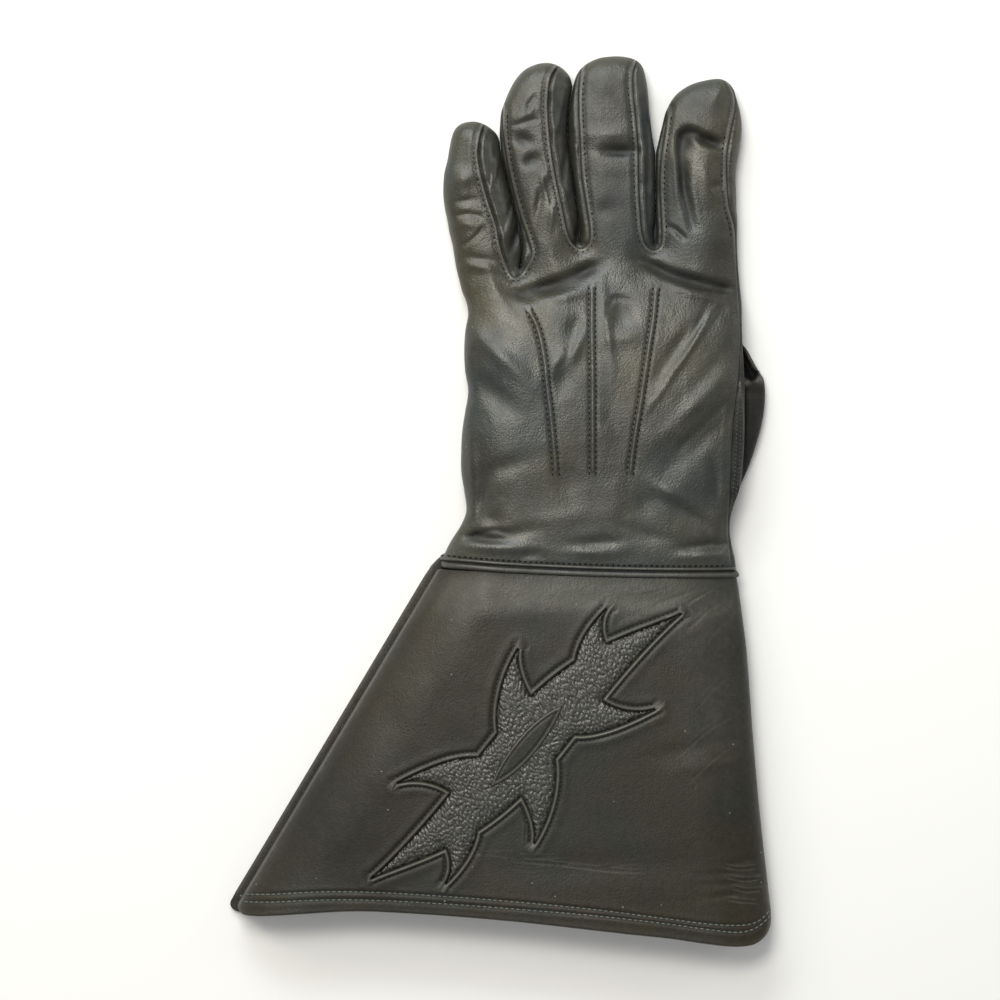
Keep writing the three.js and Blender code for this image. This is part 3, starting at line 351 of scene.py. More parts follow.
# Thumb, tucked under the palm: its outline, then in mm its height, how far in from its outline
# the leather rounds up and down, and how high and where the palm is raised to lie over it
THUMB = [
    (452, 321), (463, 322), (472, 329), (479, 336), (486, 348), (492, 359), (497, 367),
    (498.5, 378), (497.5, 398), (494, 417), (488, 438), (480, 460), (471, 479), (463, 491),
    (452, 500), (436, 502), (420, 494), (410, 474), (406, 448), (405, 418), (407, 388),
    (413, 358), (422, 338), (436, 325),
]
THUMB_HEIGHT = 9.0
THUMB_ROUND = 8.0
THUMB_FLOOR_ROUND = 7.0
THUMB_LIFT = 9.3
LIFT_RUN = 17.0
LIFT_LEFT = 72.2
LIFT_LOW = -5.3
LIFT_HIGH = 70.7
# Its hollows, where the first three rows are the pocket's rims, and the pocket
THUMB_HOLLOWS = [
    (477, 372.5, 5.5, 3.6, 10, -1.3), (492.5, 369, 3.8, 4.2, -25, -1.3),
    (484.6, 350, 2.2, 12, 30, -1.2), (476, 430, 3.4, 50, 0, 0.9), (487, 405, 5, 40, 8, -0.5),
    (484, 380, 8, 4, 0, 0.5),
]
POCKET = [
    (469, 330), (473.5, 334), (478, 342), (482, 350), (485.5, 357.5), (490, 360.5),
    (489.8, 363.5), (484.5, 369), (481, 367), (476.5, 364.5), (470, 363),
]
POCKET_DEPTH = 6.5
# Least height of the thumb's upper side, and how wide the pocket's wall is
THUMB_LEAST = 1.4
POCKET_WALL = 1.3
# Stitch rows and a ridge on the strip between the hand and the thumb
STRIP_ROWS = [
    [(468, 393), (467.3, 430), (466, 460), (463.8, 487)],
    [(471.8, 391), (471.4, 430), (470, 460), (467, 484)],
]
STRIP_RIDGE = [(471, 372), (473.5, 392), (475, 420), (474, 450), (471, 474)]

# Section of the wrist welt across the seam: distance down the cuff, height, and share of painted
# highlight on its ridges, which is below 0 for painted shade in the groove and at the edge
WELT_PROFILE = [
    (-1.75, 0.0, 0), (-1.6, 0.4, 0.1), (-1.3, 0.8, 0.5), (-0.85, 1.0, 1.0), (-0.4, 0.85, 0.4),
    (-0.05, 0.3, -0.5), (0.15, 0.12, -1.0), (0.4, 0.45, -0.3), (0.75, 1.0, 0.1), (1.3, 1.35, 0.6),
    (1.9, 1.42, 0.8), (2.45, 1.25, 0.4), (2.85, 0.8, 0), (3.05, 0.2, -0.6), (3.1, -0.3, -1.0),
]
# How deep the upper half starts in the glove, and how proud the lower half is beside the upper
WELT_SINK = 0.35
WELT_UNDER_SHARE = 0.35
WELT_THICKNESS = 0.5
# Rows of points near the ends of the welt
WELT_END_ROWS = [0, 0.02, 0.08, 0.2, 0.4, 0.7, 1.1, 1.6, 2.2]

# A stitch: share of its length, share of its half thickness, and rise in mm, from end to end
THREAD = [
    (0.0, 0.35, -0.28), (0.12, 0.85, -0.02), (0.5, 1.0, 0.1), (0.88, 0.85, -0.02),
    (1.0, 0.35, -0.28),
]
THREAD_SIDES = 6

# Inlay on the cuff, as in the solids: measures in mm, bend and thorns as shares of its half
# length. A thorn has its place, side, base, reach and sweep.
MOTIF_LENGTH = 168.0
MOTIF_BODY = 25.0
MOTIF_TURN = math.radians(40.4)
MOTIF_BEND = 0.05
MOTIF_CENTRE = (10.8, -101.3)
THORNS = [
    (0.52, 1, 0.2, 0.22, 0.22), (0.3, -1, 0.24, 0.32, 0.3), (0.04, 1, 0.26, 0.35, 0.24),
    (-0.04, -1, 0.26, 0.35, -0.24), (-0.3, 1, 0.24, 0.32, -0.3), (-0.52, -1, 0.2, 0.22, -0.22),
]
LEAF_LENGTH = 44.0
LEAF_WIDTH = 9.0
# How deep the patch lies, how it swells in the opening, and the gap, stretch, turn, bends,
# unevenness, grooves and height of its pebbles
PATCH_DEPTH = 2.55
PATCH_SWELL = 1.25
PEBBLE_GAP = 1.45
PEBBLE_STRETCH = 1.9
PEBBLE_TURN = MOTIF_TURN + 1.35
PEBBLE_WANDER = 1.8
PEBBLE_UNEVENNESS = 1.25
PEBBLE_GROOVE = 0.75
PEBBLE_HEIGHT = 0.6

# Lamps: name, place, aim, width and depth, power, colour. Lengths from here on are in metres.
LAMPS = [
    ("softbox", (-0.26, 0.6, 1.42), (0, 0.06, 0), (0.8, 0.45), 13, (1.0, 0.97, 0.86)),
    ("overhead", (-0.2, -0.1, 1.7), (0, 0, 0), (0.5, 0.3), 2, (1.0, 0.98, 0.94)),
    ("window", (-0.3, 1.25, 0.85), (0, 0.03, 0), (0.9, 0.4), 12, (0.90, 0.96, 1.0)),
    ("left", (-0.95, 0.75, 0.75), (0, 0.08, 0), (0.4, 0.5), 4, (1.0, 0.94, 0.76)),
    ("right", (1.1, 0.5, 0.6), (0, 0.05, 0), (0.4, 0.4), 1.5, (0.97, 0.98, 1.0)),
]
SKY_STRENGTH = 0.34
FLOOR_HALF = 3
FLOOR_LEVEL = -0.0002
FLOOR_CORNERS = [(-1, -1), (1, -1), (1, 1), (-1, 1)]
# The frame shows this width at the height of the glove's middle. The sensor is in mm.
SENSOR_WIDTH = 36
CAMERA_HEIGHT = 1.4
FOCUS_HEIGHT = 0.012
FRAME_WIDTH = 0.414


def place(pixels):
    """Pixels of the photograph as plan points in millimetres."""
    return (np.asarray(pixels, float) - ORIGIN) * (MM_PER_PIXEL, -MM_PER_PIXEL)


def photo_row(where):
    return ORIGIN[1] - where[:, 1] / MM_PER_PIXEL


def photo_column(where):
    return ORIGIN[0] + where[:, 0] / MM_PER_PIXEL


def lengths(line):
    """How far along the line each of its points lies."""
    steps = np.linalg.norm(np.diff(line, axis=0), axis=1)
    return np.concatenate([[0], np.cumsum(steps)])


def closed(ring):
    return np.vstack([ring, ring[:1]])


def points_at(line, at):
    """Points of the line at these lengths along it."""
    reach = lengths(line)
    return np.column_stack([np.interp(at, reach, values) for values in line.T])


def resample(line, gap):
    """The same line with its points an even gap apart."""
    total = lengths(line)[-1]
    return points_at(line, np.linspace(0, total, max(2, int(round(total / gap)) + 1)))


def curve(points, gap):
    """Smooth line through the points, with its points an even gap apart."""
    p = np.asarray(points, float)
    q = np.vstack([2 * p[0] - p[1], p, 2 * p[-1] - p[-2]])
    pieces = []
    for a, b, c, d in zip(q[:-3], q[1:-2], q[2:-1], q[3:]):
        ta, tb, tc = (max(1e-6, np.linalg.norm(v)) ** 0.5 for v in (b - a, c - b, d - c))
        leave = tb * ((b - a) / ta - (c - a) / (ta + tb) + (c - b) / tb)
        reach = tb * ((c - b) / tb - (d - b) / (tb + tc) + (d - c) / tc)
        t = np.linspace(0, 1, 16, endpoint=False)[:, None]
        pieces.append(
            (2 * t**3 - 3 * t**2 + 1) * b + (t**3 - 2 * t**2 + t) * leave
            + (3 * t**2 - 2 * t**3) * c + (t**3 - t**2) * reach
        )
    pieces.append(p[-1:])
    return resample(np.vstack(pieces), gap)


def traced(pixels, gap):
    """Smooth plan line through pixels of the photograph."""
    return curve(place(pixels), gap)


def normals(line):
    """Unit normals to the left of an open line."""
    along = np.gradient(line, axis=0)
    along /= np.maximum(1e-9, np.linalg.norm(along, axis=1))[:, None]
    return np.column_stack([-along[:, 1], along[:, 0]])


def smooth(value):
    """Soft step from 0 to 1."""
    v = np.clip(value, 0, 1)
    return v * v * (3 - 2 * v)


def rounding(share):
    """Quarter circle that rises from 0 to 1."""
    v = 1 - np.clip(share, 0, 1)
    return np.sqrt(np.maximum(0, 1 - v * v))


def bell(value, width):
    """1 at a value of 0, and near 0 from twice the width on."""
    return np.exp(-((value / width) ** 2))


def mix(a, b, share):
    return a + (b - a) * share


def ripple(where, size, seed):
    """Smooth random relief from -1 to 1 with bumps of a given size in mm."""
    table = np.random.default_rng(seed).random((64, 64)) * 2 - 1
    at = where / size + 1000
    cell = np.floor(at).astype(int)
    f = at - cell
    f = f * f * f * (f * (f * 6 - 15) + 10)

    def corner(a, b):
        return table[(cell[:, 0] + a) % 64, (cell[:, 1] + b) % 64]

    low = mix(corner(0, 0), corner(1, 0), f[:, 0])
    high = mix(corner(0, 1), corner(1, 1), f[:, 0])
    return mix(low, high, f[:, 1])


def tree_of(points):
    tree = KDTree(len(points))
    for i, (x, y) in enumerate(points):
        tree.insert((x, y, 0), i)
    tree.balance()
    return tree


class Lines:
    """Distances from plan points to a set of open lines."""

    def __init__(self, lines):
        self.points = np.vstack(lines)
        count = len(self.points)
        self.after = np.arange(count) + 1
        self.before = np.arange(count) - 1
        self.share = np.concatenate([np.linspace(0, 1, len(line)) for line in lines])
        ends = np.cumsum([len(line) for line in lines])
        self.after[ends - 1] = ends - 1
        starts = np.concatenate([[0], ends[:-1]])
        self.before[starts] = starts
        self.tree = tree_of(self.points)

    def near(self, where):
        """Distance of each point, and how far along its line its foot lies."""
        found = np.array([self.tree.find((x, y, 0))[1] for x, y in where], int)
        best = np.full(len(where), 1e9)
        for other in (self.before[found], self.after[found]):
            a, b = self.points[found], self.points[other]
            d = b - a
            size = np.maximum(1e-12, (d * d).sum(1))
            t = np.clip(((where - a) * d).sum(1) / size, 0, 1)
            away = np.linalg.norm(where - a - d * t[:, None], axis=1)
            best = np.minimum(best, away)
        return best, self.share[found]

    def away(self, where):
        return self.near(where)[0]


def inside(where, ring):
    """Which plan points lie inside a closed ring."""
    a, b = ring, np.roll(ring, -1, 0)
    result = np.zeros(len(where), bool)
    rise = np.where(b[:, 1] == a[:, 1], 1e-12, b[:, 1] - a[:, 1])
    for start in range(0, len(where), 2000):
        x, y = where[start : start + 2000, :1], where[start : start + 2000, 1:]
        spans = (a[:, 1] > y) != (b[:, 1] > y)
        left = x < (b[:, 0] - a[:, 0]) * (y - a[:, 1]) / rise + a[:, 0]
        result[start : start + 2000] = (spans & left).sum(1) % 2 == 1
    return result


def grid(low, high, spacing, seed):
    """Slightly uneven points over a plan box."""
    noise = np.random.default_rng(seed)
    rows = np.arange(low[1], high[1], spacing * ROW_SHARE)
    columns = np.arange(low[0], high[0], spacing)
    x, y = np.meshgrid(columns, rows)
    x[1::2] += spacing / 2
    points = np.column_stack([x.ravel(), y.ravel()])
    return points + (noise.random(points.shape) - 0.5) * spacing * UNEVENNESS


def tile(
    rings, spacing, guides=(), edge_rows=EDGE_ROWS, guide_rows=GUIDE_ROWS, extra=(), seed=1
):
    """Plan points and triangles of a region: rings[0] is its outline, the others are holes.
    Points lie in rows along the edges and the guides, and evenly over the rest."""
    loops = [closed(ring) for ring in rings]
    edges = Lines(loops)
    kept = [np.vstack(rings)]

    def within(points):
        found = inside(points, rings[0])
        for hole in rings[1:]:
            found &= ~inside(points, hole)
        return found

    def clear(points, gap):
        """The points of the region that keep this distance from its edges."""
        points = points[within(points)]
        return points[edges.away(points) > gap]

    for index, offset in enumerate(edge_rows):
        for ring in loops:
            n = normals(ring)[:-1]
            stride = 1 if offset < DENSE_ROWS else 2
            for side in (-1, 1):
                points = (ring[:-1] + n * side * offset)[index % 2 :: stride]
                kept.append(clear(points, offset * CLEARANCE))
    margin = edge_rows[-1] + 0.2
    if guides:
        guide = Lines(guides)
        for offset in guide_rows:
            for line in guides:
                for side in (-1, 1) if offset else (1,):
                    points = clear(line + normals(line) * side * offset, margin)
                    kept.append(points[guide.away(points) > offset * CLEARANCE])
    kept += [clear(points, margin) for points in extra]
    points = grid(rings[0].min(0), rings[0].max(0), spacing, seed)
    points = clear(points, edge_rows[-1] + spacing * 0.5)
    if guides:
        points = points[guide.away(points) > guide_rows[-1] + spacing * 0.4]
    if extra:
        points = points[Lines(list(extra)).away(points) > spacing * 0.5]
    plan = np.vstack(kept + [points])
    borders = []
    first = 0
    for ring in rings:
        count = len(ring)
        borders += [(first + i, first + (i + 1) % count) for i in range(count)]
        first += count
    plan = [Vector(point) for point in plan.tolist()]
    verts, _, faces, *_ = delaunay_2d_cdt(plan, borders, [], 0, NEAR_ZERO)
    plan = np.array([tuple(v) for v in verts])
    faces = np.array([f for f in faces if len(f) == 3])
    faces = faces[within(plan[faces].mean(1))]
    a, b, c = (plan[faces[:, k]] for k in range(3))
    turn = (b[:, 0] - a[:, 0]) * (c[:, 1] - a[:, 1]) - (b[:, 1] - a[:, 1]) * (c[:, 0] - a[:, 0])
    solid = np.abs(turn) > LEAST_AREA
    faces, turn = faces[solid], turn[solid]
    faces[turn < 0] = faces[turn < 0][:, ::-1]
    return plan, faces


def weld(sheets):
    """Joins sheets of points and triangles where their points coincide."""
    points = np.vstack([p for p, _ in sheets])
    first = np.cumsum([0] + [len(p) for p, _ in sheets[:-1]])
    faces = np.vstack([f + start for (_, f), start in zip(sheets, first)])
    keys = np.round(points * WELD_STEPS).astype(np.int64)
    _, chosen, which = np.unique(keys, axis=0, return_index=True, return_inverse=True)
    faces = which.reshape(-1)[faces]
    a, b, c = faces.T
    return points[chosen], faces[(a != b) & (b != c) & (a != c)]


def point_normals(points, faces):
    a, b, c = (points[faces[:, k]] for k in range(3))
    n = np.cross(b - a, c - a)
    total = np.zeros_like(points)
    for k in range(3):
        np.add.at(total, faces[:, k], n)
    return total / np.maximum(1e-12, np.linalg.norm(total, axis=1))[:, None]


def open_edges(faces):
    """Edges that only one triangle has."""
    edges = np.vstack([faces[:, [0, 1]], faces[:, [1, 2]], faces[:, [2, 0]]])
    keys = np.sort(edges, axis=1)
    _, which, counts = np.unique(keys, axis=0, return_inverse=True, return_counts=True)
    return edges[counts[which.reshape(-1)] == 1]


def add_mesh(name, points, faces, material, flat_from=None):
    """Mesh object from points in millimetres. Faces from flat_from on keep sharp edges."""
    mesh = bpy.data.meshes.new(name)
    mesh.from_pydata((points * METRE).tolist(), [], faces.tolist())
    mesh.validate()
    shade = np.ones(len(mesh.polygons), bool)
    if flat_from is not None:
        shade[flat_from:] = False
    mesh.polygons.foreach_set("use_smooth", shade)
    mesh.materials.append(material)
    mesh.update()
    piece = bpy.data.objects.new(name, mesh)
    bpy.context.scene.collection.objects.link(piece)
    return piece


def leather_piece(
    name, sheet, thickness, material, node_names, lining=None, lined=None, marks=()
):
    """Gives an outer sheet its thickness and puts it in place of CAD nodes. The lining shows on
    the inner side within the ring `lined`. Marks are the shares of painted highlight with wear
    and of painted shade at each point, of the outer sheet alone or of both."""
    points, faces = sheet
    n = point_normals(points, faces)
    count = len(points)
    rim = open_edges(faces)
    inner = faces[:, ::-1] + count
    a, b = rim[:, 0], rim[:, 1]
    rim_faces = np.vstack([
        np.column_stack([b, a, a + count]),
        np.column_stack([b, a + count, b + count]),
    ])
    every = np.vstack([faces, inner, rim_faces])
    piece = add_mesh(
        name, np.vstack([points, points - n * thickness]), every, material,
        flat_from=len(faces) * 2,
    )
    if lining is not None:
        piece.data.materials.append(lining)
        inner_side = np.zeros(len(piece.data.polygons), int)
        inner_side[len(faces) : len(faces) * 2] = inside(points[faces].mean(1)[:, :2], lined)
        piece.data.polygons.foreach_set("material_index", inner_side)
    for label, values in zip(MARKS, marks):
        attribute = piece.data.attributes.new(label, "FLOAT", "POINT")
        both_sides = np.zeros(count * 2, np.float32)
        both_sides[: len(values)] = values
        attribute.data.foreach_set("value", both_sides)
    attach(piece, "root")
    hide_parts(*node_names)


def slit(points):
    """The fold down one side of a slit between two fingers, round its end and up the other."""
    line = traced(points, 0.55)
    n = normals(line)
    end = line[-1]
    across = n[-1]
    down = np.array([across[1], -across[0]])
    turn = np.linspace(0, math.pi, 7)[1:-1, None]
    cap = end - across * np.cos(turn) * SLIT + down * np.sin(turn) * SLIT
    return [line - n * SLIT, cap, (line + n * SLIT)[::-1]]


# The fold line, from the cuff's left end round the fingers to its right end
little, ring_finger, middle_finger, index_finger = (
    traced(points, 0.7) for points in (LITTLE_EDGE, RING_EDGE, MIDDLE_EDGE, INDEX_EDGE)
)
fold = np.vstack([
    traced(CUFF_LEFT, 1.2)[:-1], little[:-1], *slit(GAPS[0]), ring_finger[1:-1],
    *slit(GAPS[1]), middle_finger[1:-1], *slit(GAPS[2]), index_finger[1:],
    traced(CUFF_RIGHT, 1.2)[1:],
])


def fold_at(pixel):
    """Index of the fold point nearest to a pixel."""
    return int(np.argmin(np.linalg.norm(fold - place([pixel])[0], axis=1)))


def ring_of(*runs):
    """Closed ring from runs of points, without points that repeat."""
    points = np.vstack(runs)
    apart = np.linalg.norm(points - np.roll(points, 1, 0), axis=1)
    return points[apart > 0.04]


def snapped(line, first=None, last=None):
    """The line with its ends put on fold points."""
    line = line.copy()
    if first is not None:
        line[0] = fold[first]
    if last is not None:
        line[-1] = fold[last]
    return line


def moved(line, distance, fade=6.0):
    """The line moved sideways, less so towards its ends."""
    reach = lengths(line)
    share = smooth(np.minimum(reach, reach[-1] - reach) / fade)
    return line + normals(line) * (distance * share)[:, None]


seam_ends = [(fold_at(points[0]), fold_at(points[-1])) for points in SEAMS]
seams = [
    snapped(traced(points, 0.7), *ends) for points, ends in zip(SEAMS, seam_ends)
]
side_start = fold_at(SIDE_SEAM[0])
side_seam = snapped(traced(SIDE_SEAM, 0.7), side_start)
wrist_left, wrist_right = fold_at(WRIST[0]), fold_at(WRIST[-1])
wrist = snapped(traced(WRIST, 0.9), wrist_left, wrist_right)
cuff_left, cuff_right = fold_at(CUFF_TOP[0]), fold_at(CUFF_TOP[-1])
cuff_top = snapped(traced(CUFF_TOP, 1.1), cuff_left, cuff_right)
hem_left, hem_right = fold_at(HEM[0]), fold_at(HEM[-1])
hem = snapped(traced(HEM, 0.9), hem_left, hem_right)

# Runs of the fold between the seams
finger_runs = []
start = wrist_left
for (leave, back), seam in zip(seam_ends, seams):
    finger_runs += [fold[start : leave + 1], seam[1:-1]]
    start = back
wrist_split = int(np.argmin(np.linalg.norm(wrist - side_seam[-1], axis=1)))
side_seam[-1] = wrist[wrist_split]
hand_back_ring = ring_of(
    *finger_runs, fold[start : side_start + 1], side_seam[1:], wrist[:wrist_split][::-1]
)
palm_ring = ring_of(*finger_runs, fold[start : wrist_right + 1], wrist[1:-1][::-1])
side_strip_ring = ring_of(
    fold[side_start : wrist_right + 1], wrist[wrist_split:-1][::-1],
    moved(side_seam, -STRIP_OVERLAP)[1:-1][::-1],
)
strip_rings = [
    ring_of(fold[leave : back + 1], moved(seam, -STRIP_OVERLAP)[1:-1][::-1])
    for (leave, back), seam in zip(seam_ends, seams)
]
cuff_back_ring = ring_of(
    fold[hem_left : cuff_left + 1], cuff_top[1:-1], fold[cuff_right : hem_right + 1],
    hem[1:-1][::-1],
)
flange = fold[hem_left : fold_at(FLANGE_TOP) + 1]
flange_reach = np.interp(photo_row(flange), FLANGE_ROWS, FLANGE_SHARES)
flange = flange + normals(flange) * (flange_reach * FLANGE)[:, None]
hem_under = hem.copy()
hem_under[:, 0] -= HEM_SHIFT * (1 - smooth((hem[:, 0] - hem[:, 0].min()) / HEM_SHIFT_RUN))
cuff_palm_ring = ring_of(
    flange, place(FLANGE_BACK), cuff_top[FLANGE_SKIP:-1], fold[cuff_right : hem_right + 1],
    hem_under[1:-1][::-1],
)

fold_lines = Lines([fold])
seam_lines = Lines(seams + [side_seam])
finger_seam_lines = Lines(seams)
side_seam_lines = Lines([side_seam])
points_lines = [traced(points, 0.8) for points in POINTS]
points_field = Lines(points_lines)
hem_lines = Lines([hem])
wrist_lines = Lines([wrist])
strip_ridge_lines = Lines([traced(STRIP_RIDGE, 0.7)])
strip_rows = [traced(points, 0.7) for points in STRIP_ROWS]
strip_row_lines = Lines(strip_rows)
roof = curve(ROOF, 1.0).T
cuff_creases, hand_creases = (
    [(width, depth, Lines([traced(points, 0.8)])) for width, depth, points in rows]
    for rows in (CUFF_CREASES, HAND_CREASES)
)


def hollows(where, rows, shade=0.5):
    """Depth of the rows' hollows. A long one lies a share of its width below its place, so that
    its shaded side is there."""
    total = np.zeros(len(where))
    column, row = photo_column(where), photo_row(where)
    for x, y, long, wide, turn, deep in rows:
        angle = math.radians(turn)
        shift = shade * wide if long > LONG_SHARE * wide and deep > 0 else 0
        dx, dy = column - x, y + shift - row
        along = dx * math.cos(angle) + dy * math.sin(angle)
        over = dy * math.cos(angle) - dx * math.sin(angle)
        total += deep * np.exp(-((along / long) ** 2) - (over / wide) ** 2)
    return total


def creases(where):
    """Depth of the creases, with the swell that each has on both its sides."""
    total = np.zeros(len(where))
    for width, depth, field in cuff_creases + hand_creases:
        low, up = field.points.min(0) - 4 * width, field.points.max(0) + 4 * width
        close = np.all((where > low) & (where < up), axis=1)
        if close.any():
            away, along = field.near(where[close])
            strength = depth * (1 - (2 * along - 1) ** 4)
            total[close] += strength * (1 - 0.9 * (away / width) ** 2) * bell(away, width)
    return total


def thumb_lift(where):
    """Share of the lift that the palm has over the thumb."""
    x, y = where.T
    sideways = smooth((x - LIFT_LEFT + LIFT_RUN) / LIFT_RUN)
    up = smooth((y - LIFT_LOW + LIFT_RUN) / LIFT_RUN)
    down = smooth((LIFT_HIGH + LIFT_RUN - y) / LIFT_RUN)
    return sideways * up * down


class Body:
    """What both sheets need to know at plan points."""

    def __init__(self, where):
        self.fold = fold_lines.away(where)
        self.row, self.column = photo_row(where), photo_column(where)
        self.finger = smooth((FINGER_START - self.row) / FINGER_RUN)
        self.cuff = smooth((self.row - CUFF_START) / CUFF_RUN)
        share = np.interp(self.column, FINGER_COLUMNS, FINGER_SHARES)
        self.high = np.interp(self.row, *roof) * mix(1, share, self.finger)
        finger_round = np.interp(self.column, FINGER_COLUMNS, FINGER_ROUNDS)
        hand_round = mix(HAND_ROUND, finger_round, self.finger)
        self.round = mix(hand_round, CUFF_ROUND, self.cuff)
        left = np.interp(self.row, SIDE_ROWS, LEFT_COLUMNS)
        right = np.interp(self.row, SIDE_ROWS, RIGHT_COLUMNS)
        side = smooth((self.column - left) / (right - left))
        self.lift = thumb_lift(where)
        hand_edge = FOLD_SHARE * self.high + THUMB_LIFT * (1 - FOLD_SHARE) * self.lift
        low = smooth((self.row - FOLD_START) / FOLD_RUN)
        self.edge = mix(hand_edge, mix(CUFF_FOLD_LEFT, CUFF_FOLD_RIGHT, side), low)
        self.edge_below = mix(hand_edge, mix(0.0, CUFF_FOLD_RIGHT, side), low)


def top(where, body):
    """Height of the upper sheet."""
    crown = rounding(body.fold / body.round)
    height = body.edge + (body.high - body.edge) * crown
    fade = smooth(body.fold / EDGE_CALM)
    dents = hollows(where, HAND_HOLLOWS) * HAND_HOLLOW_SHARE + hollows(where, CUFF_HOLLOWS)
    height -= dents * fade
    height -= creases(where) * mix(1.0, fade, 0.6)
    loose = sum(ripple(where, size, seed) * high for size, seed, high in LOOSE)
    stiff = sum(ripple(where, size, seed) * high for size, seed, high in STIFF)
    return height + (loose * (1 - body.cuff) + stiff * body.cuff) * fade


def bottom(where, body):
    """Height of the lower sheet."""
    low = THUMB_LIFT * body.lift * (1 - body.cuff)
    reach = mix(PALM_ROUND, FINGER_UNDER_ROUND, body.finger)
    edge = np.maximum(body.edge_below, low + 0.1)
    edge = np.where(body.edge_below < 0.05, body.edge_below, edge)
    return low + (edge - low) * (1 - rounding(body.fold / reach))


def lip(away, drop=0.8, width=0.75, swell=SEAM_SWELL, groove=GROOVE, at=SEAM_STITCH):
    """Turned edge of a panel: it rolls down at its edge, swells, and dips at the stitches."""
    rolled = -drop * (1 - rounding(away / width))
    swelled = swell * bell(away - width * 1.1, 0.6)
    return rolled + swelled - groove * bell(away - at, GROOVE_WIDTH)


def stitched(where):
    """1 where the nearest seam shows its stitches, 0 along the lower part of the side seam."""
    fingers = finger_seam_lines.away(where)
    side = side_seam_lines.away(where)
    above = smooth((SIDE_STITCH_END - photo_row(where)) / SIDE_STITCH_RUN)
    return np.where(fingers < side, 1.0, above)


def back_height(where):
    """Height of the back panel, with its turned edges, points and the hollow at the wrist."""
    body = Body(where)
    away = seam_lines.away(where)
    shown = stitched(where)
    height = top(where, body)
    height += lip(away, groove=GROOVE * shown, swell=SEAM_SWELL * mix(0.3, 1, shown))
    height += 0.14 * bell(away - 3.6, 1.2)
    ridge, along = points_field.near(where)
    strength = smooth(np.minimum(along, 1 - along) / 0.04)
    groove = GROOVE * bell(ridge - RIDGE_STITCH, GROOVE_WIDTH)
    height += strength * (RIDGE * bell(ridge, RIDGE_WIDTH) - groove)
    return height - 0.5 * bell(wrist_lines.away(where) - 0.3, 1.2)


def back_marks(where):
    """Painted highlight and wear share, and painted shade share, of the back panel. The other
    marks give the same two.
    """
    away = seam_lines.away(where)
    ridge = points_field.away(where)
    shown = stitched(where)
    # Painted highlight on the seams' turned edges and on the points' ridges
    painted_highlight_and_wear = np.maximum(bell(away - 0.7, 0.38) * shown, 0.4 * bell(ridge, 0.55))
    # Painted shade in the hollows and creases, along the stitch rows and along the side seam
    dents = smooth((hollows(where, HAND_HOLLOWS) + creases(where) - 0.4) / 1.5)
    rows = 0.7 * np.maximum(
        bell(away - SEAM_STITCH, 0.4) * shown, bell(ridge - RIDGE_STITCH, 0.4)
    )
    rows = np.maximum(rows, 0.85 * bell(side_seam_lines.away(where), 0.4))
    patches = hollows(where, HAND_SHADE_AND_SHEEN_PATCHES, 0)
    painted_highlight_and_wear = np.maximum(painted_highlight_and_wear, -patches)
    return painted_highlight_and_wear, np.maximum(np.maximum(dents, rows), patches)


def strip_marks(where):
    """Marks of the side strips: painted shade in the folds. Beside the thumb, all but the ridge
    has painted shadow, and the ridge has a painted highlight.
    """
    away = seam_lines.away(where)
    edge = fold_lines.away(where)
    folds = np.maximum(bell(away, 0.6), 0.8 * bell(edge, 0.35))
    folds = np.maximum(folds, smooth(hollows(where, STRIP_HOLLOWS) / 1.2))
    row = photo_row(where)
    beside_thumb = smooth((row - SHADE_TOP) / SHADE_TOP_RUN)
    beside_thumb *= smooth((SHADE_END - row) / SHADE_END_RUN)
    ridge = strip_ridge_lines.away(where)
    shaded = 1.15 * beside_thumb * (1 - bell(ridge, 0.4))
    return 0.3 * bell(ridge, 0.3), np.maximum(folds, shaded)


def strip_height(where):
    """Height of a side strip, which lies under the seam and rises beside it."""
    body = Body(where)
    away = seam_lines.away(where)
    sink = 0.55 + 1.1 * bell(away, 0.7)
    wave = 0.35 * ripple(where, 5, 21) + 0.5 * bell(away - 1.9, 0.5)
    ridge = strip_ridge_lines.away(where)
    row = strip_row_lines.away(where)
    relief = 0.5 * bell(ridge, 0.5) - 0.3 * bell(row, 0.6) - hollows(where, STRIP_HOLLOWS)
    return top(where, body) - (sink - wave) * smooth(body.fold / 2.5 + 0.05) + relief


def sheet(ring, height, spacing, **options):
    plan, faces = tile([ring] if isinstance(ring, np.ndarray) else ring, spacing, **options)
    return np.column_stack([plan, height(plan)]), faces


def plan_of(sheet):
    return sheet[0][:, :2]


def under_height(where):
    return bottom(where, Body(where))


def under(ring, spacing, height=under_height, **options):
    """A region of the lower sheet, facing down."""
    points, faces = sheet(ring, height, spacing, **options)
    return points, faces[:, ::-1]


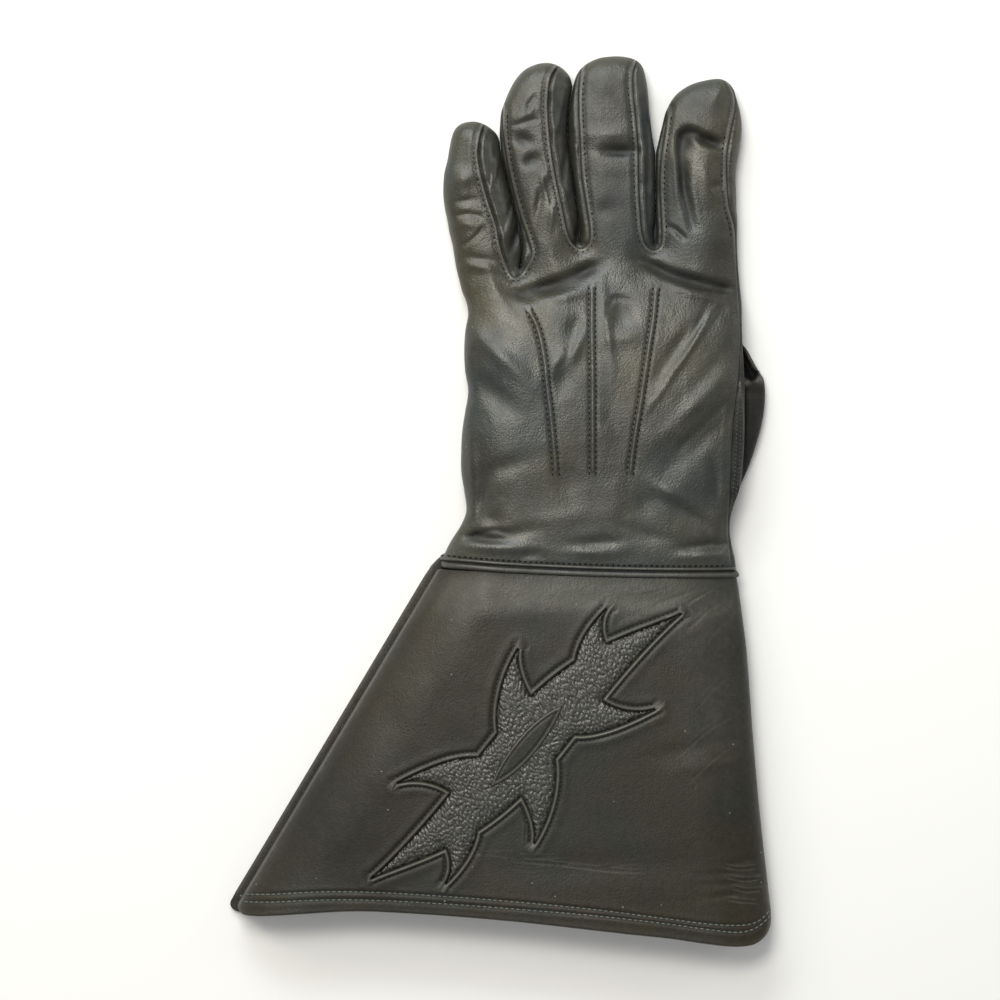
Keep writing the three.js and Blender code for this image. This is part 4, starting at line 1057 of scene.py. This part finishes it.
def leather(
    name, deep, light, cool, rough, grain, bump, grain_size=0.8, wrinkle=0.0, specular=0.5,
    dust=0.0, fold_size=7.0,
):
    """Dyed leather: three dyes in broad patches, grain of small cells and soft wrinkles. It is
    paler and glossier under painted highlight and wear, and darker and duller under painted
    shade. Sizes are in mm."""
    material = bpy.data.materials.new(name)
    material.use_nodes = True
    nodes, links = material.node_tree.nodes, material.node_tree.links
    shader = nodes["Principled BSDF"]

    def node(kind, output, inputs, **settings):
        """Output of a new node whose inputs are set to values or linked to other outputs."""
        made = nodes.new("ShaderNode" + kind)
        for name, value in settings.items():
            setattr(made, name, value)
        for socket, value in inputs.items():
            if isinstance(value, bpy.types.NodeSocket):
                links.new(value, made.inputs[socket])
            else:
                made.inputs[socket].default_value = value
        return made.outputs[output]

    where = node("TexCoord", "Object", {})

    def noise(size, detail, source=where, distortion=0.0):
        kind = {"Scale": PER_METRE / size, "Detail": detail, "Distortion": distortion}
        return node("TexNoise", "Fac", {"Vector": source, **kind})

    def cells(size):
        return node("TexVoronoi", "Distance", {"Vector": where, "Scale": PER_METRE / size})

    def ramp(source, low, high, to_low=0.0, to_high=1.0, kind="LINEAR"):
        ends = {"From Min": low, "From Max": high, "To Min": to_low, "To Max": to_high}
        return node("MapRange", "Result", {"Value": source, **ends}, interpolation_type=kind)

    def blend(factor, a, b):
        return node("Mix", 2, {0: factor, 6: a, 7: b}, data_type="RGBA")

    def rise(height, distance, strength, **under):
        size = {"Strength": strength, "Distance": distance * METRE}
        return node("Bump", "Normal", {"Height": height, **size, **under})

    def plus(base, factor, amount):
        """The base plus the factor times the amount."""
        return node("Math", 0, {0: factor, 1: amount, 2: base}, operation="MULTIPLY_ADD")

    broad = ramp(noise(70, 2, distortion=0.6), 0.36, 0.66, kind="SMOOTHSTEP")
    patchy = ramp(noise(38, 2), 0.42, 0.68, kind="SMOOTHSTEP")
    colour = blend(patchy, blend(broad, (*deep, 1), (*light, 1)), (*cool, 1))
    if dust:
        colour = blend(ramp(cells(DUST_GAP), 0.042, 0.03, to_high=dust), colour, DUST)
    # The painted highlight and wear mark lightens the colour, the painted shade mark darkens it
    painted_highlight_and_wear, painted_shade = (node("Attribute", "Fac", {}, attribute_name=label) for label in MARKS)
    colour = blend(painted_highlight_and_wear, colour, HIGHLIGHT_AND_WEAR_COLOUR)
    tone = plus(ramp(noise(2.2, 4), 0.3, 0.7, 0.78, 1.25), painted_highlight_and_wear, 0.5)
    tone = plus(tone, painted_shade, -0.78)
    colour = node("VectorMath", "Vector", {0: colour, "Scale": tone}, operation="SCALE")
    links.new(colour, shader.inputs["Base Color"])

    dull = plus(ramp(noise(9, 3), 0.3, 0.7, rough - 0.07, rough + 0.08), painted_highlight_and_wear, -0.1)
    links.new(plus(dull, painted_shade, 0.28), shader.inputs["Roughness"])
    shader.inputs["Specular IOR Level"].default_value = specular

    normal = rise(cells(grain_size), -0.12 * grain_size, grain)
    normal = rise(noise(1.1, 2), 0.12, bump, Normal=normal)
    if wrinkle:
        turn = {"Scale": (1.0, 0.35, 1.0), "Rotation": (0, 0, 0.9)}
        stretched = node("Mapping", "Vector", {"Vector": where, **turn})
        folds = noise(fold_size, 3, stretched, 1.2)
        normal = rise(folds, fold_size * 0.07, wrinkle, Normal=normal)
    links.new(normal, shader.inputs["Normal"])
    return material


# Materials
hand_leather = leather(
    "hand_leather", (0.015, 0.014, 0.007), (0.036, 0.032, 0.015), (0.014, 0.019, 0.017),
    rough=0.42, grain=0.8, bump=0.9, wrinkle=0.35, specular=0.75, dust=0.4,
)
# Paler copy of the hand's leather: painted light for the side strips, which face away from the
# lamps
side_leather = leather(
    "side_leather", (0.021, 0.021, 0.014), (0.036, 0.034, 0.021), (0.023, 0.027, 0.026),
    rough=0.40, grain=0.4, bump=0.5, wrinkle=0.4, specular=0.7,
)
# Darker, duller copy of the hand's leather: painted shade for the thumb, which lies in the hand's
# shadow
shaded_thumb_leather = leather(
    "shaded_thumb_leather", (0.013, 0.012, 0.010), (0.019, 0.018, 0.014), (0.015, 0.015, 0.015),
    rough=0.52, grain=0.4, bump=0.5, wrinkle=0.4, specular=0.35,
)
welt_leather = leather(
    "welt_leather", (0.016, 0.015, 0.011), (0.026, 0.023, 0.016), (0.019, 0.020, 0.018),
    rough=0.42, grain=0.3, bump=0.4, wrinkle=0.1,
)
cuff_leather = leather(
    "cuff_leather", (0.014, 0.011, 0.005), (0.021, 0.017, 0.008), (0.013, 0.014, 0.010),
    rough=0.46, grain=0.5, bump=0.7, grain_size=0.75, wrinkle=0.3, specular=0.4, dust=0.9,
    fold_size=2.6,
)
pebbled_leather = leather(
    "pebbled_leather", (0.014, 0.014, 0.010), (0.021, 0.020, 0.013), (0.015, 0.016, 0.014),
    rough=0.38, grain=0.3, bump=0.3, grain_size=0.6, specular=0.7,
)
suede = leather(
    "suede", (0.030, 0.027, 0.023), (0.040, 0.035, 0.029), (0.033, 0.031, 0.029),
    rough=0.85, grain=0.2, bump=0.8, grain_size=0.6, specular=0.2,
)
dark_thread = leather(
    "dark_thread", (0.003, 0.003, 0.003), (0.005, 0.005, 0.004), (0.004, 0.004, 0.004),
    rough=0.7, grain=0.3, bump=0.3, grain_size=0.3, specular=0.2,
)
grey_thread = leather(
    "grey_thread", (0.085, 0.105, 0.092), (0.120, 0.135, 0.118), (0.095, 0.112, 0.102),
    rough=0.65, grain=0.3, bump=0.3, grain_size=0.3,
)

# Hand: back panel, palm panel and the side strips between the fingers
back_sheet = sheet(hand_back_ring, back_height, spacing=0.85, guides=points_lines)
leather_piece(
    "back_panel", back_sheet, HAND_LEATHER, hand_leather, ["hand_back"],
    marks=back_marks(plan_of(back_sheet)),
)
side_strip = sheet(side_strip_ring, strip_height, spacing=0.9)
palm_sheet = weld([under(palm_ring, spacing=1.5, seed=3), side_strip])
leather_piece(
    "palm_panel", palm_sheet, HAND_LEATHER, hand_leather, ["hand_palm"],
    marks=strip_marks(plan_of(palm_sheet)),
)
for fingers, ring in zip(("little_ring", "ring_middle", "middle_index"), strip_rings):
    upper_half = sheet(ring, strip_height, spacing=0.8)
    strip_sheet = weld([upper_half, under(ring, spacing=1.0, seed=5)])
    leather_piece(
        "side_strip_" + fingers, strip_sheet, THIN_LEATHER, side_leather,
        ["fourchette_" + fingers], marks=strip_marks(plan_of(strip_sheet)),
    )

# Thumb: a flat pouch under the palm, with its pocket of folded leather
thumb_ring = traced(THUMB + THUMB[:1], 0.6)[:-1]
thumb_lines = Lines([closed(thumb_ring)])
pocket_ring = traced(POCKET + POCKET[:1], 0.4)[:-1]
pocket_loop = closed(pocket_ring)
pocket_lines = Lines([pocket_loop])


def pocket(where):
    """Share of the depth of the thumb's pocket."""
    away = pocket_lines.away(where)
    return smooth(0.5 + np.where(inside(where, pocket_ring), away, -away) / POCKET_WALL)


def thumb_height(where):
    away = thumb_lines.away(where)
    edge = FOLD_SHARE * THUMB_HEIGHT
    height = edge + (THUMB_HEIGHT - edge) * rounding(away / THUMB_ROUND)
    height -= hollows(where, THUMB_HOLLOWS) * smooth(away / 1.2)
    height += 0.2 * ripple(where, 6, 31) * smooth(away / 4)
    return np.maximum(height - POCKET_DEPTH * pocket(where), THUMB_LEAST)


def thumb_floor(where):
    away = thumb_lines.away(where)
    return FOLD_SHARE * THUMB_HEIGHT * (1 - rounding(away / THUMB_FLOOR_ROUND))


pocket_rows = [pocket_loop + normals(pocket_loop) * side for side in (0, -0.5, 0.5)]
thumb_sheet = weld([
    sheet(thumb_ring, thumb_height, spacing=0.55, extra=pocket_rows),
    under(thumb_ring, spacing=1.4, height=thumb_floor, seed=6),
])
thumb_plan = plan_of(thumb_sheet)
# Painted highlight on the pocket's rims; painted shade over the rest of the thumb, deepest in the
# pocket
rims = np.clip(-hollows(thumb_plan, THUMB_HOLLOWS[:3]), 0, 1)
leather_piece(
    "thumb_pouch", thumb_sheet, THIN_LEATHER, shaded_thumb_leather, ["thumb"],
    marks=(0.7 * rims, np.maximum(0.5 * (1 - rims), pocket(thumb_plan) * 1.3)),
)


def motif_points(along, over):
    """Plan points of the inlay, from shares of its half length along and across its bent axis."""
    half = MOTIF_LENGTH / 2
    bent = over + MOTIF_BEND * np.sin(math.pi * along)
    c, s = math.cos(MOTIF_TURN), math.sin(MOTIF_TURN)
    x, y = along * half, bent * half
    return np.column_stack([x * c - y * s, x * s + y * c]) + MOTIF_CENTRE


def leaf_ring(length, width, blunt, gap=0.4):
    """Leaf on the inlay's axis. It is fuller where `blunt` is small."""
    angle = np.linspace(0, 2 * math.pi, 400, endpoint=False)
    along = np.cos(angle)
    over = np.sign(np.sin(angle)) * np.maximum(0, 1 - along**2) ** blunt * width / MOTIF_LENGTH
    ring = motif_points(along * length / MOTIF_LENGTH, over)
    return resample(closed(ring), gap)[:-1]


def thorn_ring(at, side, base, reach, sweep, gap=0.4):
    """Thorn that leaves the inlay's axis at a place and bends along it by its sweep."""
    root, tip_along, tip_over = 0.03 * side, at + sweep, side * reach
    away = 1 if sweep > 0 else -1
    t = np.linspace(0, 1, 30)

    def bend(start, pull):
        along = (1 - t) ** 2 * start + 2 * t * (1 - t) * (start - pull) + t**2 * tip_along
        over = (1 - t) ** 2 * root + (1 - (1 - t) ** 2) * (0.5 + t / 2) * tip_over
        return np.column_stack([along, over])

    near, far = (at - base / 2, at + base / 2) if away > 0 else (at + base / 2, at - base / 2)
    outer, inner = bend(near, away * 0.04), bend(far, away * 0.02)
    shape = np.vstack([outer, inner[::-1][1:]])
    ring = motif_points(shape[:, 0], shape[:, 1])
    return resample(closed(ring), gap)[:-1]


def area(ring):
    x, y = ring.T
    return 0.5 * (x * np.roll(y, -1) - y * np.roll(x, -1)).sum()


def union_ring(rings):
    """Outer outline of overlapping rings."""
    rings = [ring if area(ring) > 0 else ring[::-1] for ring in rings]
    runs = []
    for ring in rings:
        free = ~np.any([inside(ring, other) for other in rings if other is not ring], axis=0)
        start = -int(np.argmin(free))
        ring, free = np.roll(ring, start, 0), np.roll(free, start)
        cuts = np.where(free[1:] != free[:-1])[0] + 1
        parts = zip(np.split(ring, cuts), np.split(free, cuts))
        runs += [part for part, shown in parts if shown[0] and len(part) > 2]
    chain = [runs.pop(0)]
    while runs:
        gaps = [np.linalg.norm(run[0] - chain[-1][-1]) for run in runs]
        best = int(np.argmin(gaps))
        if np.linalg.norm(chain[0][0] - chain[-1][-1]) < gaps[best]:
            break
        chain.append(runs.pop(best))
    return ring_of(*chain)


motif_ring = union_ring(
    [leaf_ring(MOTIF_LENGTH, MOTIF_BODY, blunt=1.3)] + [thorn_ring(*row) for row in THORNS]
)
motif_loop = closed(motif_ring)
motif_lines = Lines([motif_loop])
hem_rows = [traced(HEM_UPPER, 0.8), traced(HEM_LOWER, 0.8)]
hem_field = Lines(hem_rows)


def cuff_height(where):
    height = top(where, Body(where))
    away = motif_lines.away(where)
    height += lip(away, drop=1.3, width=1.0, swell=0.5, groove=0.45, at=INLAY_STITCH)
    height += 0.2 * bell(away - 4.2, 1.5)
    rim = hem_lines.away(where)
    height += lip(rim, drop=1.0, width=1.1, swell=0.1, groove=0.0)
    row = hem_field.away(where)
    height -= 0.3 * bell(row, 0.6) - 0.12 * bell(row - 1.5, 0.9)
    return height


# Painted highlights on the inlay's turned edge, the cuff's left fold and the hem's edge; paler
# swells beside the creases, partly wear and partly painted highlight; painted shade along the
# stitch rows of the inlay and the hem; and the patches of painted shade and sheen
def cuff_marks(where):
    away = motif_lines.away(where)
    edge = fold_lines.away(where)
    rim = hem_lines.away(where)
    row = hem_field.away(where)
    left = photo_column(where) < PALE_EDGE[0] + (PALE_EDGE[1] - photo_row(where)) * PALE_SLOPE
    painted_highlight_and_wear = np.maximum(bell(away - 0.95, 0.5), 0.9 * bell(edge - 0.8, 0.45) * left)
    painted_highlight_and_wear = np.maximum(painted_highlight_and_wear, 0.3 * bell(rim - 0.9, 0.6))
    painted_highlight_and_wear = np.maximum(painted_highlight_and_wear, 0.5 * smooth(-creases(where) / 0.03))
    patches = hollows(where, CUFF_SHADE_AND_SHEEN_PATCHES, 0)
    painted_shade = np.maximum(0.7 * bell(away - INLAY_STITCH, 0.45), 0.7 * bell(row, 0.5))
    return np.maximum(painted_highlight_and_wear, -patches), np.maximum(painted_shade, patches)


def pebbles(where):
    """Relief of 0 to 1 of long pebbles that lie across the inlay."""
    c, s = np.cos(PEBBLE_TURN), np.sin(PEBBLE_TURN)
    local = where - MOTIF_CENTRE
    wander = np.column_stack([ripple(where, 9, 42), ripple(where, 9, 43)])
    local = local + wander * PEBBLE_WANDER
    along, over = local[:, 0] * c + local[:, 1] * s, local[:, 1] * c - local[:, 0] * s
    turned = np.column_stack([along / PEBBLE_STRETCH, over])
    seeds = grid(turned.min(0) - 2, turned.max(0) + 2, PEBBLE_GAP, 44)
    seeds += (np.random.default_rng(45).random(seeds.shape) - 0.5) * PEBBLE_UNEVENNESS
    tree = tree_of(seeds)
    gaps = np.array([[hit[2] for hit in tree.find_n((x, y, 0), 2)] for x, y in turned])
    return rounding((gaps[:, 1] - gaps[:, 0]) / PEBBLE_GROOVE)


def patch_base(where):
    swell = PATCH_SWELL * rounding(motif_lines.away(where) / 5.0) * inside(where, motif_ring)
    return top(where, Body(where)) - PATCH_DEPTH + swell


def patch_height(where):
    height = patch_base(where)
    seen = inside(where, motif_ring)
    height[seen] += PEBBLE_HEIGHT * pebbles(where[seen])
    return height


def leaf_height(where):
    away = leaf_lines.away(where)
    return patch_base(where) + 0.5 + 0.95 * rounding(away / 0.9) - 0.35 * bell(away - 1.6, 0.35)


# Cuff: upper panel with the inlay cut out of it, under panel, pebbled patch and leaf
cuff_sheet = sheet(
    [cuff_back_ring, motif_ring], cuff_height, spacing=1.2, edge_rows=CUFF_EDGE_ROWS,
    guides=hem_rows + [field.points for _, _, field in cuff_creases],
    guide_rows=CUFF_GUIDE_ROWS, seed=8,
)
leather_piece(
    "cuff_upper", cuff_sheet, CUFF_LEATHER, cuff_leather, ["cuff_back"], suede,
    cuff_back_ring, marks=cuff_marks(plan_of(cuff_sheet)),
)
under_sheet = under(cuff_palm_ring, spacing=2.4, seed=9)
# The flange's edge has a painted highlight on both sides of the leather
flange_highlight = 0.7 * bell(Lines([flange]).away(plan_of(under_sheet)) - 0.5, 0.7)
leather_piece(
    "cuff_under", under_sheet, CUFF_LEATHER, cuff_leather, ["cuff_palm"], suede,
    cuff_back_ring, marks=(np.tile(flange_highlight, 2), []),
)
patch_ring = leaf_ring(MOTIF_LENGTH * 1.1, MOTIF_LENGTH * 0.44, blunt=0.55, gap=1.0)
fine = grid(motif_ring.min(0) - 1, motif_ring.max(0) + 1, spacing=0.42, seed=12)
fine = fine[inside(fine, motif_ring)]
patch_sheet = sheet(patch_ring, patch_height, spacing=1.8, extra=[fine], seed=13)
# Painted highlight and wear on the pebbles' tops, painted shade in the grooves between them
raised = pebbles(plan_of(patch_sheet))
leather_piece(
    "inlay_pebbled", patch_sheet, PATCH_LEATHER, pebbled_leather, ["inlay_patch"],
    suede, patch_ring,
    marks=(0.5 * smooth((raised - 0.6) / 0.4), 1 - smooth(raised / 0.7)),
)
leaf_outline = leaf_ring(LEAF_LENGTH, LEAF_WIDTH, blunt=0.8)
leaf_lines = Lines([closed(leaf_outline)])
leaf_sheet = sheet(leaf_outline, leaf_height, spacing=0.5, edge_rows=LEAF_EDGE_ROWS, seed=14)
# Painted highlight on the leaf's rounded edge, painted shade in the groove beside it
leaf_away = leaf_lines.away(plan_of(leaf_sheet))
leather_piece(
    "inlay_centre", leaf_sheet, LEAF_LEATHER, cuff_leather, ["inlay_leaf"],
    marks=(0.8 * bell(leaf_away - 0.6, 0.35), 0.7 * bell(leaf_away - 1.6, 0.3)),
)


def section_line(upper):
    """Points of the glove's section along the wrist seam, from the left fold to the right one."""
    away = np.concatenate([WELT_END_ROWS, np.arange(3.0, 18, 1.0)])
    wrist_line = resample(wrist, 0.25)
    total = lengths(wrist_line)[-1]
    middle = np.arange(away[-1] + 1.5, total - away[-1] - 1, 1.5)
    at = np.concatenate([away, middle, (total - away)[::-1]])
    plan = points_at(wrist_line, at)
    body = Body(plan)
    body.fold = np.minimum(at, total - at)
    return plan, top(plan, body) - WELT_SINK if upper else bottom(plan, body)


def welt(name, upper, node):
    """Half of the band, laid along the glove's section and flatter near its ends."""
    plan, height = section_line(upper)
    along = np.gradient(np.column_stack([plan[:, 0], height]), axis=0)
    along /= np.linalg.norm(along, axis=1)[:, None]
    out = np.column_stack([-along[:, 1], along[:, 0]]) * (1 if upper else -1)
    profile = curve([row[:2] for row in WELT_PROFILE], 0.22)
    light_and_shade_by_reach = np.interp(profile[:, 0], *np.array(WELT_PROFILE)[:, [0, 2]].T)
    reach = np.arange(len(plan)) / (len(plan) - 1)
    flush = mix(0.25, 1.0, smooth(reach / 0.12)) * mix(0.45, 1.0, smooth((1 - reach) / 0.08))
    shift = normals(plan)
    points = []
    for down, proud in profile:
        lie = (proud if upper else proud * WELT_UNDER_SHARE) * flush
        x = plan[:, 0] + shift[:, 0] * -down + out[:, 0] * lie
        y = plan[:, 1] + shift[:, 1] * -down
        points.append(np.column_stack([x, y, np.maximum(0.0, height + out[:, 1] * lie)]))
    points = np.vstack(points)
    count = len(plan)
    faces = []
    for row in range(len(profile) - 1):
        for a in range(row * count, row * count + count - 1):
            b = a + 1
            faces += [(a, b + count, b), (a, a + count, b + count)]
    faces = np.array(faces) if upper else np.array(faces)[:, ::-1]
    # Painted highlight on the ridges, painted shade in the groove and at the lower edge
    painted_highlight_and_wear = np.repeat(light_and_shade_by_reach, count)
    marks = (0.6 * np.maximum(0, painted_highlight_and_wear), np.maximum(0, -painted_highlight_and_wear))
    leather_piece(
        name, (points, faces), WELT_THICKNESS, welt_leather, [node], marks=marks
    )


# Wrist welt: a doubled band round the wrist with two ridges
welt("wrist_welt_upper", True, "wrist_welt_back")
welt("wrist_welt_under", False, "wrist_welt_palm")


def stitches(name, rows, height, material, pitch=STITCH_PITCH, length=1.4, thick=0.31):
    """Short threads lying on the leather along rows of plan points. Sizes are in mm."""
    starts, ends = [], []
    for row in rows:
        line = resample(row, pitch)
        for a, b in zip(line[:-1], line[1:]):
            half = (b - a) * (length / pitch) / 2
            starts.append((a + b) / 2 - half)
            ends.append((a + b) / 2 + half)
    starts, ends = np.array(starts), np.array(ends)
    lows, middles, highs = height(starts), height((starts + ends) / 2), height(ends)
    sides = THREAD_SIDES
    angle = np.arange(sides) * 2 * math.pi / sides
    along = ends - starts
    along /= np.linalg.norm(along, axis=1)[:, None]
    across = np.column_stack([-along[:, 1], along[:, 0]])
    points = []
    for t, wide, rise in THREAD:
        base = starts + (ends - starts) * t
        level = np.where(t < 0.5, mix(lows, middles, t * 2), mix(middles, highs, t * 2 - 1)) + rise
        for a in angle:
            points.append(np.column_stack([
                base + across * (math.cos(a) * wide * thick), level + math.sin(a) * wide * thick
            ]))
    points = np.stack(points, axis=1)
    faces = []
    for ring in range(len(THREAD) - 1):
        for k in range(sides):
            a, b = ring * sides + k, ring * sides + (k + 1) % sides
            faces += [(a, b, b + sides), (a, b + sides, a + sides)]
    last = (len(THREAD) - 1) * sides
    for k in range(1, sides - 1):
        faces += [(0, k + 1, k), (last, last + k, last + k + 1)]
    first = np.arange(len(starts)) * points.shape[1]
    every = (np.array(faces)[None] + first[:, None, None]).reshape(-1, 3)
    piece = add_mesh(name, points.reshape(-1, 3), every, material)
    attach(piece, "root")


def trimmed(line, start, end):
    """The line without a length at each end."""
    reach = lengths(line)
    return line[(reach >= start) & (reach <= reach[-1] - end)]


def parallel(line, distance):
    """Line beside another, without the points that come too close to it at its bends."""
    beside = line + normals(line) * distance
    return beside[Lines([line]).away(beside) > abs(distance) * 0.96]


# Stitches on the hand, beside the thumb, along the hem and round the inlay
hand_rows = [trimmed(parallel(seam, -SEAM_STITCH), start=12, end=3) for seam in seams]
side_row = trimmed(parallel(side_seam, -SEAM_STITCH), start=22, end=2)
hand_rows.append(side_row[photo_row(side_row) < SIDE_STITCH_LAST])
for line in points_lines:
    hand_rows += [line + normals(line) * side for side in (RIDGE_STITCH, -RIDGE_STITCH)]
hand_rows.append(trimmed(wrist + normals(wrist) * WRIST_STITCH, start=2, end=3))
stitches("stitches_hand", hand_rows, back_height, dark_thread)
stitches(
    "stitches_strip", strip_rows, strip_height, side_leather, pitch=1.7,
    length=1.15, thick=0.3,
)
stitches(
    "stitches_hem", hem_rows, cuff_height, grey_thread, pitch=2.3, length=2.05,
    thick=0.34,
)
beside = motif_loop - normals(motif_loop) * INLAY_STITCH
beside = beside[(motif_lines.away(beside) > INLAY_STITCH - 0.1) & ~inside(beside, motif_ring)]
jumps = np.where(np.linalg.norm(np.diff(beside, axis=0), axis=1) > 3.0)[0] + 1
motif_rows = [run for run in np.split(beside, jumps) if len(run) > 5]
stitches(
    "stitches_inlay", motif_rows, cuff_height, dark_thread, pitch=1.9,
    length=1.25, thick=0.27,
)


def area_light(name, spot, aim, size, power, colour):
    light = bpy.data.lights.new(name, "AREA")
    light.shape = "RECTANGLE"
    light.size, light.size_y = size
    light.energy = power
    light.color = colour
    lamp = bpy.data.objects.new(name, light)
    lamp.location = spot
    lamp.rotation_euler = (Vector(aim) - Vector(spot)).to_track_quat("-Z", "Y").to_euler()
    bpy.context.scene.collection.objects.link(lamp)


# Studio: a paper floor, a soft white sky, five lamps and the camera straight above
corners = [(x * FLOOR_HALF, y * FLOOR_HALF, FLOOR_LEVEL) for x, y in FLOOR_CORNERS]
floor_mesh = bpy.data.meshes.new("floor")
floor_mesh.from_pydata(corners, [], [(0, 1, 2, 3)])
floor = bpy.data.objects.new("floor", floor_mesh)
bpy.context.scene.collection.objects.link(floor)
paper = bpy.data.materials.new("paper")
paper.use_nodes = True
paper_inputs = paper.node_tree.nodes["Principled BSDF"].inputs
paper_inputs["Base Color"].default_value = (0.9, 0.9, 0.9, 1)
paper_inputs["Roughness"].default_value = 0.9
floor_mesh.materials.append(paper)

world = bpy.data.worlds.new("studio")
bpy.context.scene.world = world
world.use_nodes = True
sky_inputs = world.node_tree.nodes["Background"].inputs
sky_inputs["Color"].default_value = (1, 1, 1, 1)
sky_inputs["Strength"].default_value = SKY_STRENGTH

for row in LAMPS:
    area_light(*row)

camera = bpy.data.cameras.new("camera")
camera.sensor_width = SENSOR_WIDTH
camera.sensor_fit = "HORIZONTAL"
camera.lens = SENSOR_WIDTH * (CAMERA_HEIGHT - FOCUS_HEIGHT) / FRAME_WIDTH
camera.clip_start = 0.05
eye = bpy.data.objects.new("camera", camera)
eye.location = (0, 0, CAMERA_HEIGHT)
bpy.context.scene.collection.objects.link(eye)
bpy.context.scene.camera = eye
bpy.context.scene.view_settings.view_transform = "Standard"
